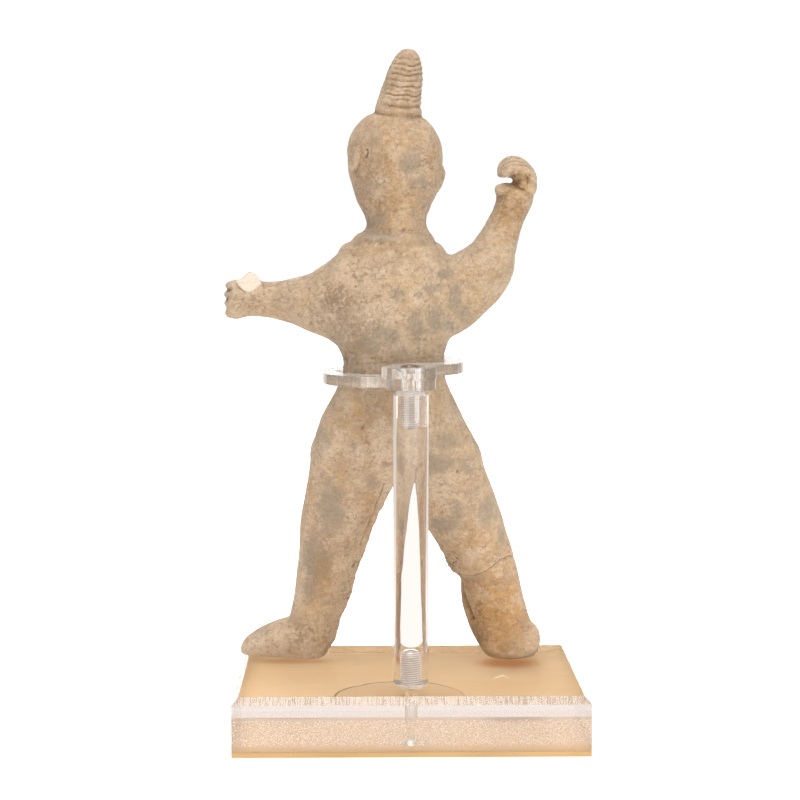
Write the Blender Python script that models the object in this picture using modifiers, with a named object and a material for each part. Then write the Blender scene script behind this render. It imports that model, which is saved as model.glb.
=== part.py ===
"""Hand-modelled terracotta fighter in a wide stance, held at the waist by a clear acrylic stand.

The figure faces -Y and its left hand points along +X. The stand's post is behind its back, on +Y.
The origin is the centre of the base's underside. Sizes are in millimetres and become metres by MM.
"""
import math

import bmesh
import bpy
from mathutils import Matrix, Vector

MM = 0.001
GAP = 0.3

# Base: a clear block with a thin board under it.
BASE_WIDTH = 200.0
BASE_DEPTH = 150.0
BASE_TOP = 33.5
BASE_CHAMFER = 4.0
BOARD_THICK = 3.2
BLOCK_BOTTOM = BOARD_THICK + GAP

# Post: a rod with a tapped blind hole in each end.
POST_Y = 48.0
POST_RADIUS = 10.0
POST_CHAMFER = 3.0
POST_BOTTOM = BASE_TOP + GAP
POST_TOP = 202.5
TAPPED_RADIUS = 3.65
TAPPED_DEPTH = 21.0
DRILL_POINT = 2.0

# Hooks: two plates, one on the other, each with a boss on the post and an arm round the waist.
PLATE_THICK = 6.0
LOWER_HOOK_BOTTOM = POST_TOP + GAP
UPPER_HOOK_BOTTOM = LOWER_HOOK_BOTTOM + PLATE_THICK + GAP
UPPER_HOOK_TOP = UPPER_HOOK_BOTTOM + PLATE_THICK
LOWER_BOSS_RADIUS = 14.0
UPPER_BOSS_RADIUS = 15.5
UPPER_BOSS_X = 1.0
LOWER_HOOK_REACH = 41.4
UPPER_HOOK_REACH = 41.0
HOOK_BACK = 49.0
HOOK_FRONT = 47.0
HOOK_SQUARENESS = 2.5
HOOK_END_ANGLE = -62.0
HOOK_STEPS = 26
LOWER_HOOK_START = 108.0
UPPER_HOOK_START = 92.0
LOWER_HOOK_INNER = (33.6, 30.6)
UPPER_HOOK_INNER = (31.6, 29.0)

# Screws: raised countersunk heads.
CLEAR_HOLE_RADIUS = 3.6
SCREW_RADIUS = 3.2
SCREW_HEAD_RADIUS = 5.6
SCREW_RIM = 0.8
SCREW_DOME = 1.6
SCREW_IN_POST = 17.0

# Figure: places that several forms share.
WAIST_X = 8.9
WAIST_Y = -8.0
SOLE_Z = BASE_TOP + GAP
HEAD_MIDDLE = Vector((7.2, -20.0, 328.0))
HEAD_TURN = math.radians(27.0)
HEAD_TILT = math.radians(13.0)
VOXEL = 1.2
FIGURE_TRIANGLES = 6000

ROUND_STEPS = 48
ACRYLIC_COLOUR = (0.97, 0.97, 0.96)


# ---------------------------------------------------------------- helpers

def clear_scene():
    for old in list(bpy.data.objects):
        bpy.data.objects.remove(old)


def make_collection(name):
    collection = bpy.data.collections.new(name)
    bpy.context.scene.collection.children.link(collection)
    return collection


def add_object(name, mesh, collection):
    thing = bpy.data.objects.new(name, mesh)
    collection.objects.link(thing)
    return thing


def hide_cutter(cutter):
    cutter.hide_render = True
    cutter.display_type = "WIRE"
    return cutter


def cut(thing, cutter, operation="DIFFERENCE"):
    boolean = thing.modifiers.new(operation.title(), "BOOLEAN")
    boolean.operation = operation
    boolean.object = cutter


def cylinder_mesh(name, radius_low, radius_high, low, high, x=0.0, y=0.0, segments=ROUND_STEPS):
    """An upright cylinder or cone between two heights."""
    bm = bmesh.new()
    middle = Vector((x, y, (low + high) / 2)) * MM
    bmesh.ops.create_cone(bm, cap_ends=True, segments=segments, radius1=radius_low * MM,
                          radius2=radius_high * MM, depth=(high - low) * MM,
                          matrix=Matrix.Translation(middle))
    mesh = bpy.data.meshes.new(name)
    bm.to_mesh(mesh)
    bm.free()
    return mesh


def turned(name, profile, collection, x=0.0, y=0.0):
    """A turned piece: the profile's (radius, height) points run from top to bottom."""
    mesh = bpy.data.meshes.new(name)
    points = [(radius * MM, 0.0, height * MM) for radius, height in profile]
    edges = [(i, i + 1) for i in range(len(points) - 1)]
    mesh.from_pydata(points, edges, [])
    piece = add_object(name, mesh, collection)
    piece.location = (x * MM, y * MM, 0.0)
    screw = piece.modifiers.new("Turn", "SCREW")
    screw.axis = "Z"
    screw.steps = ROUND_STEPS
    screw.render_steps = ROUND_STEPS
    screw.use_merge_vertices = True
    screw.merge_threshold = 0.00001
    return piece


def shade_round(mesh, degrees=35.0):
    mesh.shade_smooth()
    mesh.set_sharp_from_angle(angle=math.radians(degrees))


# ---------------------------------------------------------------- materials

def make_material(name, colour, roughness, transmission=0.0):
    material = bpy.data.materials.new(name)
    material.use_nodes = True
    shader = material.node_tree.nodes["Principled BSDF"]
    shader.inputs["Base Color"].default_value = (*colour, 1.0)
    shader.inputs["Roughness"].default_value = roughness
    shader.inputs["Metallic"].default_value = 0.0
    shader.inputs["Transmission Weight"].default_value = transmission
    return material


def dress(piece, material):
    piece.data.materials.append(material)


def countersink(piece, name, face, way, cutters):
    """A 45 degree seat for a screw's head, from a level face into the piece, up or down."""
    wide = SCREW_HEAD_RADIUS + SCREW_RIM + 1.5 * GAP
    outside = 1.0
    narrow = CLEAR_HOLE_RADIUS - 0.5
    start = face - way * outside
    end = start + way * (wide + outside - narrow)
    if way > 0:
        mesh = cylinder_mesh(name, wide + outside, narrow, start, end, y=POST_Y)
    else:
        mesh = cylinder_mesh(name, narrow, wide + outside, end, start, y=POST_Y)
    cut(piece, hide_cutter(add_object(name, mesh, cutters)))


# ---------------------------------------------------------------- stand

def make_block(collection, cutters):
    """The clear block, with its top and upright edges bevelled and a countersunk hole below."""
    bm = bmesh.new()
    bmesh.ops.create_cube(bm, size=1.0)
    size = Vector((BASE_WIDTH, BASE_DEPTH, BASE_TOP - BLOCK_BOTTOM)) * MM
    bmesh.ops.scale(bm, vec=size, verts=bm.verts)
    middle = Vector((0.0, 0.0, (BASE_TOP + BLOCK_BOTTOM) / 2)) * MM
    bmesh.ops.translate(bm, vec=middle, verts=bm.verts)
    top_edges = [edge for edge in bm.edges if all(v.co.z > middle.z for v in edge.verts)]
    bmesh.ops.bevel(bm, geom=top_edges, offset=BASE_CHAMFER * MM, segments=1, affect="EDGES")
    mesh = bpy.data.meshes.new("base_block")
    bm.to_mesh(mesh)
    bm.free()
    block = add_object("base_block", mesh, collection)
    hole = cylinder_mesh("block_hole", CLEAR_HOLE_RADIUS, CLEAR_HOLE_RADIUS,
                         0.0, BASE_TOP + 5.0, y=POST_Y)
    cut(block, hide_cutter(add_object("block_hole", hole, cutters)))
    countersink(block, "block_sink", BLOCK_BOTTOM, 1.0, cutters)
    return block


def make_board(collection):
    bpy.ops.mesh.primitive_cube_add(size=1.0, location=(0.0, 0.0, BOARD_THICK / 2 * MM))
    board = bpy.context.object
    board.name = "backing_board"
    board.scale = (BASE_WIDTH * MM, BASE_DEPTH * MM, BOARD_THICK * MM)
    bpy.ops.object.transform_apply(location=False, rotation=False, scale=True)
    for other in list(board.users_collection):
        other.objects.unlink(board)
    collection.objects.link(board)
    return board


def make_post(collection):
    rim = POST_RADIUS - POST_CHAMFER
    top_end = POST_TOP - TAPPED_DEPTH
    bottom_end = POST_BOTTOM + TAPPED_DEPTH
    profile = [
        (0.0, top_end - DRILL_POINT),
        (TAPPED_RADIUS, top_end),
        (TAPPED_RADIUS, POST_TOP),
        (rim, POST_TOP),
        (POST_RADIUS, POST_TOP - POST_CHAMFER),
        (POST_RADIUS, POST_BOTTOM + POST_CHAMFER),
        (rim, POST_BOTTOM),
        (TAPPED_RADIUS, POST_BOTTOM),
        (TAPPED_RADIUS, bottom_end),
        (0.0, bottom_end + DRILL_POINT),
    ]
    return turned("post", profile, collection, y=POST_Y)


def screw_profile(head_top, tip, upright):
    """A raised countersunk screw from its domed head to its flat tip."""
    way = 1.0 if upright else -1.0
    neck = SCREW_HEAD_RADIUS - SCREW_RADIUS
    profile = [(0.0, head_top + way * SCREW_DOME if upright else head_top)]
    if upright:
        for step in range(1, 4):
            angle = math.pi / 2 * step / 4
            profile.append((SCREW_HEAD_RADIUS * math.sin(angle),
                            head_top + SCREW_DOME * math.cos(angle)))
    profile.append((SCREW_HEAD_RADIUS, head_top))
    profile.append((SCREW_HEAD_RADIUS, head_top - way * SCREW_RIM))
    profile.append((SCREW_RADIUS, head_top - way * (SCREW_RIM + neck)))
    profile.append((SCREW_RADIUS, tip + way * 0.8))
    profile.append((SCREW_RADIUS - 0.8, tip))
    profile.append((0.0, tip))
    return profile if upright else profile[::-1]


def make_screws(collection):
    clamp = screw_profile(UPPER_HOOK_TOP + 0.4, POST_TOP - SCREW_IN_POST, True)
    base = screw_profile(BLOCK_BOTTOM, POST_BOTTOM + SCREW_IN_POST, False)
    return (turned("clamp_screw", clamp, collection, y=POST_Y),
            turned("base_screw", base, collection, y=POST_Y))


def hook_outline(side, reach, inner, start_angle):
    """The arm's outline: outer edge from back to front, a round tip, then the inner edge back."""
    outer_points = []
    inner_points = []
    for step in range(HOOK_STEPS + 1):
        angle = math.radians(start_angle + (HOOK_END_ANGLE - start_angle) * step / HOOK_STEPS)
        across = math.cos(angle)
        along = math.sin(angle)
        depth = HOOK_BACK if along > 0 else HOOK_FRONT
        power = 2.0 / HOOK_SQUARENESS
        outer = Vector((math.copysign(abs(across) ** power, across) * reach,
                        math.copysign(abs(along) ** power, along) * depth))
        outer_points.append(outer)
        inner_points.append(Vector((across * inner[0], along * inner[1])))
    tip_middle = (outer_points[-1] + inner_points[-1]) / 2
    spoke = outer_points[-1] - tip_middle
    tip = []
    for step in range(1, 6):
        turn = Matrix.Rotation(-math.pi * step / 6, 2)
        tip.append(tip_middle + turn @ spoke)
    outline = outer_points + tip + inner_points[::-1]
    return [(WAIST_X + side * point.x, WAIST_Y + point.y) for point in outline]


def flat_piece(name, outline, bottom, thickness, collection):
    """A closed flat outline made as a filled curve and then a mesh."""
    curve = bpy.data.curves.new(name + "_outline", "CURVE")
    curve.dimensions = "2D"
    curve.fill_mode = "BOTH"
    curve.extrude = thickness / 2 * MM
    spline = curve.splines.new("POLY")
    spline.points.add(len(outline) - 1)
    for point, (x, y) in zip(spline.points, outline):
        point.co = (x * MM, y * MM, 0.0, 1.0)
    spline.use_cyclic_u = True
    guide = add_object(name + "_outline", curve, collection)
    guide.location.z = (bottom + thickness / 2) * MM
    bpy.context.view_layer.update()
    evaluated = guide.evaluated_get(bpy.context.evaluated_depsgraph_get())
    mesh = bpy.data.meshes.new_from_object(evaluated)
    mesh.name = name
    bm = bmesh.new()
    bm.from_mesh(mesh)
    bmesh.ops.remove_doubles(bm, verts=bm.verts, dist=0.00001)
    bm.to_mesh(mesh)
    bm.free()
    piece = add_object(name, mesh, collection)
    piece.matrix_world = guide.matrix_world
    bpy.data.objects.remove(guide)
    return piece


def make_hook(name, outline, bottom, boss_radius, boss_x, collection, cutters):
    """A plate: its arm, joined to a boss with a clear hole."""
    hook = flat_piece(name, outline, bottom, PLATE_THICK, collection)
    boss = cylinder_mesh(name + "_boss", boss_radius, boss_radius, bottom, bottom + PLATE_THICK,
                         x=boss_x, y=POST_Y)
    cut(hook, hide_cutter(add_object(name + "_boss", boss, cutters)), "UNION")
    hole = cylinder_mesh(name + "_hole", CLEAR_HOLE_RADIUS, CLEAR_HOLE_RADIUS,
                         bottom - 5.0, bottom + PLATE_THICK + 5.0, y=POST_Y)
    cut(hook, hide_cutter(add_object(name + "_hole", hole, cutters)))
    return hook


# ---------------------------------------------------------------- clay forms

def smooth_row(rows, steps=4):
    """Rows of numbers, filled in between with a Catmull-Rom curve through them."""
    filled = []
    last = len(rows) - 1
    for i in range(last):
        before = rows[max(i - 1, 0)]
        start = rows[i]
        end = rows[i + 1]
        after = rows[min(i + 2, last)]
        for step in range(steps):
            t = step / steps
            filled.append(tuple(
                0.5 * (2 * b + (c - a) * t + (2 * a - 5 * b + 4 * c - d) * t * t
                       + (3 * b - a - 3 * c + d) * t ** 3)
                for a, b, c, d in zip(before, start, end, after)))
    filled.append(tuple(rows[-1]))
    return filled


def ring(middle, across, deep, squareness=2.0, segments=28):
    """An oval section: across and deep are its half-axes as vectors."""
    power = 2.0 / squareness
    points = []
    for step in range(segments):
        angle = 2 * math.pi * step / segments
        c = math.cos(angle)
        s = math.sin(angle)
        points.append(middle + across * math.copysign(abs(c) ** power, c)
                      + deep * math.copysign(abs(s) ** power, s))
    return points


def add_skin(bm, rings):
    """A closed skin over a row of rings."""
    rows = [[bm.verts.new(point * MM) for point in points] for points in rings]
    count = len(rows[0])
    for low, high in zip(rows, rows[1:]):
        for i in range(count):
            j = (i + 1) % count
            bm.faces.new((low[i], low[j], high[j], high[i]))
    bm.faces.new(rows[0][::-1])
    bm.faces.new(rows[-1])


def close_faces(bm):
    bmesh.ops.recalc_face_normals(bm, faces=bm.faces)


def stack(bm, sections, squareness=2.0, turn=0.0, depth_ratio=None):
    """Level sections, lowest first: height, left side, right side, middle depth, half depth."""
    rings = []
    for height, left, right, y, half_depth in smooth_row(sections):
        middle = Vector(((left + right) / 2, y, height))
        half = (left - right) / 2
        if depth_ratio:
            half /= math.hypot(math.cos(turn), depth_ratio * math.sin(turn))
            half_depth = half * depth_ratio
        across = Vector((math.cos(turn), math.sin(turn), 0.0)) * half
        deep = Vector((-math.sin(turn), math.cos(turn), 0.0)) * half_depth
        rings.append(ring(middle, across, deep, squareness))
    add_skin(bm, rings)


def sweep(bm, stations, squareness=2.0, steps=4):
    """Sections across a bent path: x, y, z, half height in the X-Z plane, half depth."""
    rows = smooth_row(stations, steps)
    middles = [Vector(row[:3]) for row in rows]
    rings = []
    for i, row in enumerate(rows):
        ahead = middles[min(i + 1, len(rows) - 1)] - middles[max(i - 1, 0)]
        ahead.normalize()
        across = Vector((-ahead.z, 0.0, ahead.x)).normalized()
        deep = ahead.cross(across).normalized()
        rings.append(ring(middles[i], across * row[3], deep * row[4], squareness))
    add_skin(bm, rings)


def lump(bm, place, radii, turn=Matrix.Identity(3)):
    """A squashed ball."""
    size = Matrix.Diagonal(Vector(radii) * MM).to_4x4()
    bmesh.ops.create_uvsphere(bm, u_segments=20, v_segments=12, radius=1.0,
                              matrix=Matrix.Translation(Vector(place) * MM) @ turn.to_4x4() @ size)


# ---------------------------------------------------------------- figure

def add_trunk(bm):
    stack(bm, [
        (151, 42.0, -28.0, -18, 9),
        (155, 51.0, -37.0, -17, 18),
        (160, 55.5, -40.0, -15, 23.5),
        (170, 55.0, -38.0, -12.5, 27),
        (180, 51.9, -32.5, -10, 28),
        (192, 45.6, -26.8, -8, 28),
        (203, 40.4, -22.0, -8, 27.5),
        (210, 38.4, -20.8, -8, 27),
        (217, 38.6, -20.6, -9, 27.5),
        (227, 43.0, -23.6, -10, 30),
        (240, 46.0, -30.0, -12, 32),
        (255, 44.0, -31.0, -14, 31),
        (268, 38.0, -26.0, -15, 28),
        (280, 30.0, -19.0, -16, 22),
        (289, 27.2, -12.6, -17, 18),
        (294, 24.6, -10.2, -17, 16.5),
        (302, 24.0, -10.0, -18, 16.0),
    ])


def add_collar(bm):
    """The raised neckband, a ring laid round the base of the neck."""
    stations = []
    for step in range(33):
        angle = 2 * math.pi * step / 32
        stations.append((8.0 + 20.4 * math.cos(angle), -17.0 + 19.4 * math.sin(angle),
                         284.2 + 1.2 * math.sin(angle)))
    rings = []
    for x, y, z in stations[:-1]:
        outward = Vector((x - 8.0, y + 17.0, 0.0)).normalized()
        rings.append(ring(Vector((x, y, z)), outward * 3.4, Vector((0.0, 0.0, 4.4)), 2.4, 12))
    rows = [[bm.verts.new(point * MM) for point in points] for points in rings]
    for i, row in enumerate(rows):
        following = rows[(i + 1) % len(rows)]
        for j in range(12):
            k = (j + 1) % 12
            bm.faces.new((row[j], row[k], following[k], following[j]))


def head_frame():
    """The head's own axes as a turn: X to its left, Y behind it, Z to its crown."""
    return Matrix.Rotation(HEAD_TURN, 3, "Z") @ Matrix.Rotation(-HEAD_TILT, 3, "Y")


def add_head(bm):
    """The skull and jaw as level sections, then a plain nose, brow, mouth, chin and ears."""
    stack(bm, [
        (293, 24.5, -10.0, -17, 0),
        (299, 25.6, -10.6, -18, 0),
        (306, 29.3, -13.7, -21.5, 0),
        (315, 32.5, -18.0, -22, 0),
        (326, 35.1, -20.0, -21, 0),
        (338, 35.1, -19.8, -20, 0),
        (347, 33.1, -16.5, -19, 0),
        (354, 28.0, -11.4, -19, 0),
        (359, 21.0, -5.0, -19, 0),
        (362, 13.0, 2.0, -19, 0),
    ], turn=HEAD_TURN, depth_ratio=1.1)
    turn = head_frame()
    features = [
        ((0.0, -29.0, -3.5), (4.6, 6.4, 8.0)),
        ((0.0, -27.0, 7.0), (15.0, 5.0, 4.5)),
        ((0.0, -25.5, -15.0), (10.0, 6.5, 5.0)),
        ((0.0, -22.5, -21.0), (9.0, 7.5, 5.5)),
    ]
    for side in (1.0, -1.0):
        features.append(((side * 27.6, 3.0, 0.0), (3.8, 6.0, 9.5)))
    for place, radii in features:
        lump(bm, HEAD_MIDDLE + turn @ Vector(place), radii, turn)


def add_topknot(bm):
    """The tall coiled knot of hair, leaning to the right and back."""
    sweep(bm, [
        (5.8, -22.0, 353.0, 13.6, 13.6),
        (5.6, -21.0, 361.0, 13.5, 13.5),
        (4.5, -19.8, 368.0, 12.3, 12.3),
        (2.8, -18.5, 376.0, 11.0, 11.4),
        (1.3, -17.0, 384.0, 9.4, 9.9),
        (0.4, -15.8, 390.5, 7.0, 7.2),
        (0.2, -15.0, 394.3, 4.0, 4.2),
        (0.2, -14.8, 395.8, 1.2, 1.2),
    ])


def add_left_arm(bm):
    """The arm held straight out to the side, thin at the wrist."""
    sweep(bm, [
        (14.0, -13.0, 250.0, 30.0, 24.0),
        (34.0, -15.0, 249.5, 31.0, 23.0),
        (46.0, -16.5, 249.0, 23.4, 18.5),
        (56.0, -18.0, 248.6, 17.8, 15.0),
        (66.0, -19.5, 249.3, 14.0, 12.5),
        (76.0, -21.0, 249.5, 11.5, 11.0),
        (86.0, -22.0, 250.0, 10.4, 10.4),
        (92.0, -22.5, 250.8, 11.2, 11.0),
    ])


def add_left_fist(bm):
    """The closed hand: a blunt block of four curled fingers with the thumb on top."""
    sweep(bm, [
        (86.5, -22.0, 250.3, 9.6, 9.6),
        (90.0, -22.0, 250.6, 10.8, 10.6),
        (97.0, -22.5, 250.8, 11.6, 11.6),
        (103.0, -23.0, 250.4, 11.2, 11.2),
        (106.0, -23.0, 250.2, 8.6, 8.8),
    ], squareness=2.8)
    for knuckle in range(4):
        height = 240.9 + 6.0 * knuckle
        lump(bm, (104.0, -22.5, height + 0.6), (4.2, 9.6, 3.4))
    lump(bm, (93.5, -19.0, 259.4), (7.6, 6.6, 6.6), Matrix.Rotation(math.radians(20.0), 3, "X"))


def add_right_arm(bm):
    """The arm bent up at the elbow to a narrow wrist."""
    sweep(bm, [
        (2.0, -13.0, 252.0, 26.0, 24.0),
        (-18.0, -14.0, 253.6, 24.2, 22.0),
        (-34.0, -15.5, 259.8, 18.6, 18.0),
        (-45.2, -17.0, 269.9, 16.4, 15.5),
        (-51.3, -18.5, 281.5, 12.6, 12.8),
        (-56.0, -19.5, 293.0, 10.4, 10.8),
        (-59.8, -20.0, 303.0, 9.8, 9.8),
        (-62.6, -20.0, 311.0, 11.0, 10.2),
        (-65.0, -20.0, 316.5, 10.0, 9.8),
        (-66.0, -20.0, 321.0, 9.0, 9.4),
    ])


def add_right_hand(bm):
    """The raised hand: four fingers curl over in an arch above a short thumb."""
    arch = Vector((-63.7, -20.0, 322.3))
    arch_radius = 7.5
    stations = []
    for degrees in range(212, -8, -24):
        angle = math.radians(degrees)
        stations.append((arch.x + arch_radius * math.cos(angle), arch.y,
                         arch.z + arch_radius * math.sin(angle), 4.2, 9.8))
    sweep(bm, stations, squareness=2.6, steps=2)
    lump(bm, (-66.6, -20.0, 320.5), (5.6, 9.0, 6.5))
    sweep(bm, [
        (-66.0, -18.0, 309.5, 5.0, 6.0),
        (-60.0, -17.0, 313.2, 4.8, 5.8),
        (-55.0, -17.0, 313.8, 4.8, 5.6),
        (-50.8, -17.0, 313.6, 3.8, 4.6),
    ])


def add_left_leg(bm):
    stack(bm, [
        (36, 71.0, 49.0, -43, 13.5),
        (44, 71.5, 44.3, -43, 15.0),
        (54, 71.5, 41.2, -43, 15.8),
        (63, 70.4, 37.5, -42.5, 16.0),
        (72, 68.4, 33.8, -42, 16.5),
        (86, 67.0, 30.4, -40, 17.5),
        (100, 65.3, 25.6, -36, 18.8),
        (115, 64.3, 20.6, -32, 20.5),
        (132, 61.7, 13.0, -27, 22.5),
        (150, 58.3, 3.0, -20, 25.0),
        (165, 57.0, 1.0, -15, 26.5),
        (182, 48.0, 2.0, -10, 24.0),
    ])


def add_left_foot(bm):
    """The shoe that points to the figure's left and a little ahead."""
    sweep(bm, [
        (50.0, -40.0, 37.0, 9.5, 8.5),
        (56.0, -41.0, 39.5, 13.0, 14.0),
        (66.0, -43.5, 41.8, 14.8, 15.0),
        (74.0, -46.0, 41.2, 14.2, 15.0),
        (83.6, -49.5, 39.1, 12.1, 14.0),
        (91.0, -52.0, 36.7, 9.7, 12.8),
        (96.5, -54.0, 34.6, 7.4, 10.6),
        (99.6, -55.0, 33.6, 4.4, 6.5),
    ], squareness=2.3)


def add_right_leg(bm):
    stack(bm, [
        (37, -46.0, -77.0, -32, 14.5),
        (44, -41.5, -78.6, -32, 16.4),
        (52, -37.4, -75.6, -32.5, 16.8),
        (62, -34.0, -72.4, -33, 17.0),
        (72, -31.4, -69.8, -33, 17.2),
        (81, -31.0, -67.6, -33, 17.2),
        (88, -25.6, -66.4, -32, 18.0),
        (100, -19.6, -62.8, -31, 19.2),
        (115, -11.0, -58.0, -28, 20.8),
        (132, -3.0, -52.6, -24.5, 22.8),
        (150, 10.0, -45.5, -20, 25.0),
        (165, 14.0, -41.0, -15, 26.5),
        (182, 12.0, -29.0, -10, 24.0),
    ])


def add_right_foot(bm):
    """The shoe that points straight ahead, its heel a little off the ground."""
    rings = []
    for y, low, high, middle, half_width in smooth_row([
            (-15.5, 38.5, 48.0, -61.5, 11.0),
            (-18.5, 36.0, 53.0, -61.5, 16.0),
            (-26.0, 34.0, 57.0, -61.5, 18.2),
            (-36.0, 30.0, 58.0, -62.3, 18.0),
            (-46.0, 27.0, 57.0, -63.0, 17.0),
            (-58.0, 27.0, 51.5, -64.0, 15.8),
            (-68.0, 27.0, 46.5, -65.0, 14.0),
            (-75.0, 30.0, 42.0, -65.5, 9.0)]):
        centre = Vector((middle, y, (low + high) / 2))
        rings.append(ring(centre, Vector((half_width, 0.0, 0.0)),
                          Vector((0.0, 0.0, (high - low) / 2)), 2.3))
    add_skin(bm, rings)


def make_figure(collection):
    """All the clay forms, pressed into one skin and cut flat under the soles."""
    bm = bmesh.new()
    for form in (add_trunk, add_collar, add_head, add_topknot, add_left_arm, add_left_fist,
                 add_right_arm, add_right_hand, add_left_leg, add_left_foot, add_right_leg,
                 add_right_foot):
        form(bm)
    close_faces(bm)
    mesh = bpy.data.meshes.new("figure")
    bm.to_mesh(mesh)
    bm.free()
    figure = add_object("figure", mesh, collection)
    press = figure.modifiers.new("Press", "REMESH")
    press.mode = "VOXEL"
    press.voxel_size = VOXEL * MM
    press.use_smooth_shade = True
    blend = figure.modifiers.new("Blend", "SMOOTH")
    blend.factor = 0.5
    blend.iterations = 6
    return figure


def thin_out(figure):
    """Fewer triangles, to the number set at the top."""
    evaluated = figure.evaluated_get(bpy.context.evaluated_depsgraph_get())
    faces = len(evaluated.to_mesh().polygons)
    evaluated.to_mesh_clear()
    thin = figure.modifiers.new("Thin", "DECIMATE")
    thin.ratio = FIGURE_TRIANGLES / (2 * faces)
    thin.use_collapse_triangulate = True


def flatten_soles(figure, cutters):
    bm = bmesh.new()
    bmesh.ops.create_cube(bm, size=1.0)
    bmesh.ops.scale(bm, vec=Vector((300.0, 300.0, 20.0)) * MM, verts=bm.verts)
    bmesh.ops.translate(bm, vec=Vector((0.0, 0.0, SOLE_Z - 10.0)) * MM, verts=bm.verts)
    mesh = bpy.data.meshes.new("sole_cutter")
    bm.to_mesh(mesh)
    bm.free()
    cut(figure, hide_cutter(add_object("sole_cutter", mesh, cutters)))


# ---------------------------------------------------------------- assembly

def build():
    clear_scene()
    parts = make_collection("terracotta_warrior")
    cutters = make_collection("cutters")
    clay = make_material("terracotta", (0.50, 0.36, 0.25), 0.88)
    board_finish = make_material("peach_board", (0.79, 0.52, 0.31), 0.55)

    figure = make_figure(parts)
    bpy.context.view_layer.update()
    thin_out(figure)
    flatten_soles(figure, cutters)
    dress(figure, clay)

    block = make_block(parts, cutters)
    board = make_board(parts)
    post = make_post(parts)
    lower_outline = hook_outline(1.0, LOWER_HOOK_REACH, LOWER_HOOK_INNER, LOWER_HOOK_START)
    upper_outline = hook_outline(-1.0, UPPER_HOOK_REACH, UPPER_HOOK_INNER, UPPER_HOOK_START)
    lower = make_hook("lower_hook", lower_outline, LOWER_HOOK_BOTTOM, LOWER_BOSS_RADIUS, 0.0,
                      parts, cutters)
    upper = make_hook("upper_hook", upper_outline, UPPER_HOOK_BOTTOM, UPPER_BOSS_RADIUS,
                      UPPER_BOSS_X, parts, cutters)
    countersink(upper, "upper_sink", UPPER_HOOK_TOP, -1.0, cutters)
    clamp_screw, base_screw = make_screws(parts)
    for piece in (block, post, lower, upper, clamp_screw, base_screw):
        dress(piece, make_material(piece.name + "_acrylic", ACRYLIC_COLOUR, 0.03, 1.0))
        shade_round(piece.data)
    dress(board, board_finish)


build()
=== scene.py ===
"""A hand-modelled terracotta warrior held at the waist by a clear acrylic stand.

The figure faces -Y and its left hand points along +X. The post stands behind its back, on +Y.
Shapes are worked out in millimetres and become metres when they turn into meshes.
"""
import math

import bmesh
import bpy
import numpy as np
from mathutils import Matrix, Vector, kdtree, noise


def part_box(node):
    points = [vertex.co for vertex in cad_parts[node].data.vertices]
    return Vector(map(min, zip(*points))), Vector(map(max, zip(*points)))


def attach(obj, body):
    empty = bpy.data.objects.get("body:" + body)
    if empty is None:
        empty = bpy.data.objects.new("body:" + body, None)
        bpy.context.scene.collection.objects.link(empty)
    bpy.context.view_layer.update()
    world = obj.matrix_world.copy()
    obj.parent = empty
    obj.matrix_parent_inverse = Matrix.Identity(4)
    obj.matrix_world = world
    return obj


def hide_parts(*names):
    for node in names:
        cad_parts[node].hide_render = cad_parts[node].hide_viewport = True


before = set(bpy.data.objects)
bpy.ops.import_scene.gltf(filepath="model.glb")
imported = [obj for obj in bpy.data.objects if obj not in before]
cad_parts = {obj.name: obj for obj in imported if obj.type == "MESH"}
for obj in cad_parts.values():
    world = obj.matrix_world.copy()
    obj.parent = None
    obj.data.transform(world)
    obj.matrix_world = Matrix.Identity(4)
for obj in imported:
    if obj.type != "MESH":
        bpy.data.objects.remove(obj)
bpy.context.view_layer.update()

MM = 0.001

# The stand's sizes in millimetres, as its solids have them.
BASE_HALF_WIDTH = 100.0
BASE_HALF_DEPTH = 75.0
BASE_TOP = 33.5
BASE_CHAMFER = 4.0
BASE_EDGE = 0.25
BOARD_TOP = 3.2
BOND = 0.1
LOOSE_STRIP = -49.0
POST_Y = 48.0
POST_BOTTOM = 33.8
POST_TOP = 202.5
POST_RADIUS = 10.0
POST_CHAMFER = 3.0
TAPPED_RADIUS = 3.65
TAPPED_DEPTH = 19.0
HOLE_CHAMFER = 0.4
CLEAR_RADIUS = 3.6
SEAT_RADIUS = 6.85
PLATE_THICK = 6.0
LOWER_PLATE = 202.8
UPPER_PLATE = 209.1
PLATE_EDGE = 0.3
# The hooks: name, side, reach sideways, the waist's half-axes, the angle at which the arm
# starts, height, the boss's radius and place, and whether a screw's head sits in it.
HOOKS = [
    ("lower", 1, 41.4, (33.6, 30.6), 108, LOWER_PLATE, 14.0, 0.0, False),
    ("upper", -1, 41.0, (31.6, 29.0), 92, UPPER_PLATE, 15.5, 1.0, True)]
HOOK_BACK = 49.0
HOOK_FRONT = 47.0
HOOK_TIP_ANGLE = -62
HOOK_SQUARENESS = 2.5

# The threads and the two screws, whose heights are measured down from the head. A solid of
# revolution starts and ends at the axis radius, so that its ends close.
THREAD_PITCH = 1.25
THREAD_STEP = 0.2
THREAD_REACH = 5.0
THREAD_MARGIN = 1.0
HOLE_THREAD = 0.32
SCREW_THREAD = 0.42
SCREW_RADIUS = 3.35
SCREW_HEAD = 5.6
SCREW_DOME = 1.6
SCREW_RIM = 0.8
SCREW_NECK = 3.05
SCREW_SHANK = 3.3
SCREW_TIP = 0.8
SCREW_DEPTH = 17.0
SEAT_LIFT = 0.3
AXIS_RADIUS = 0.02

# How much a face's normal points up, at most on a steep face and at least on a level one.
STEEP = 0.3
LEVEL = 0.95

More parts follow.
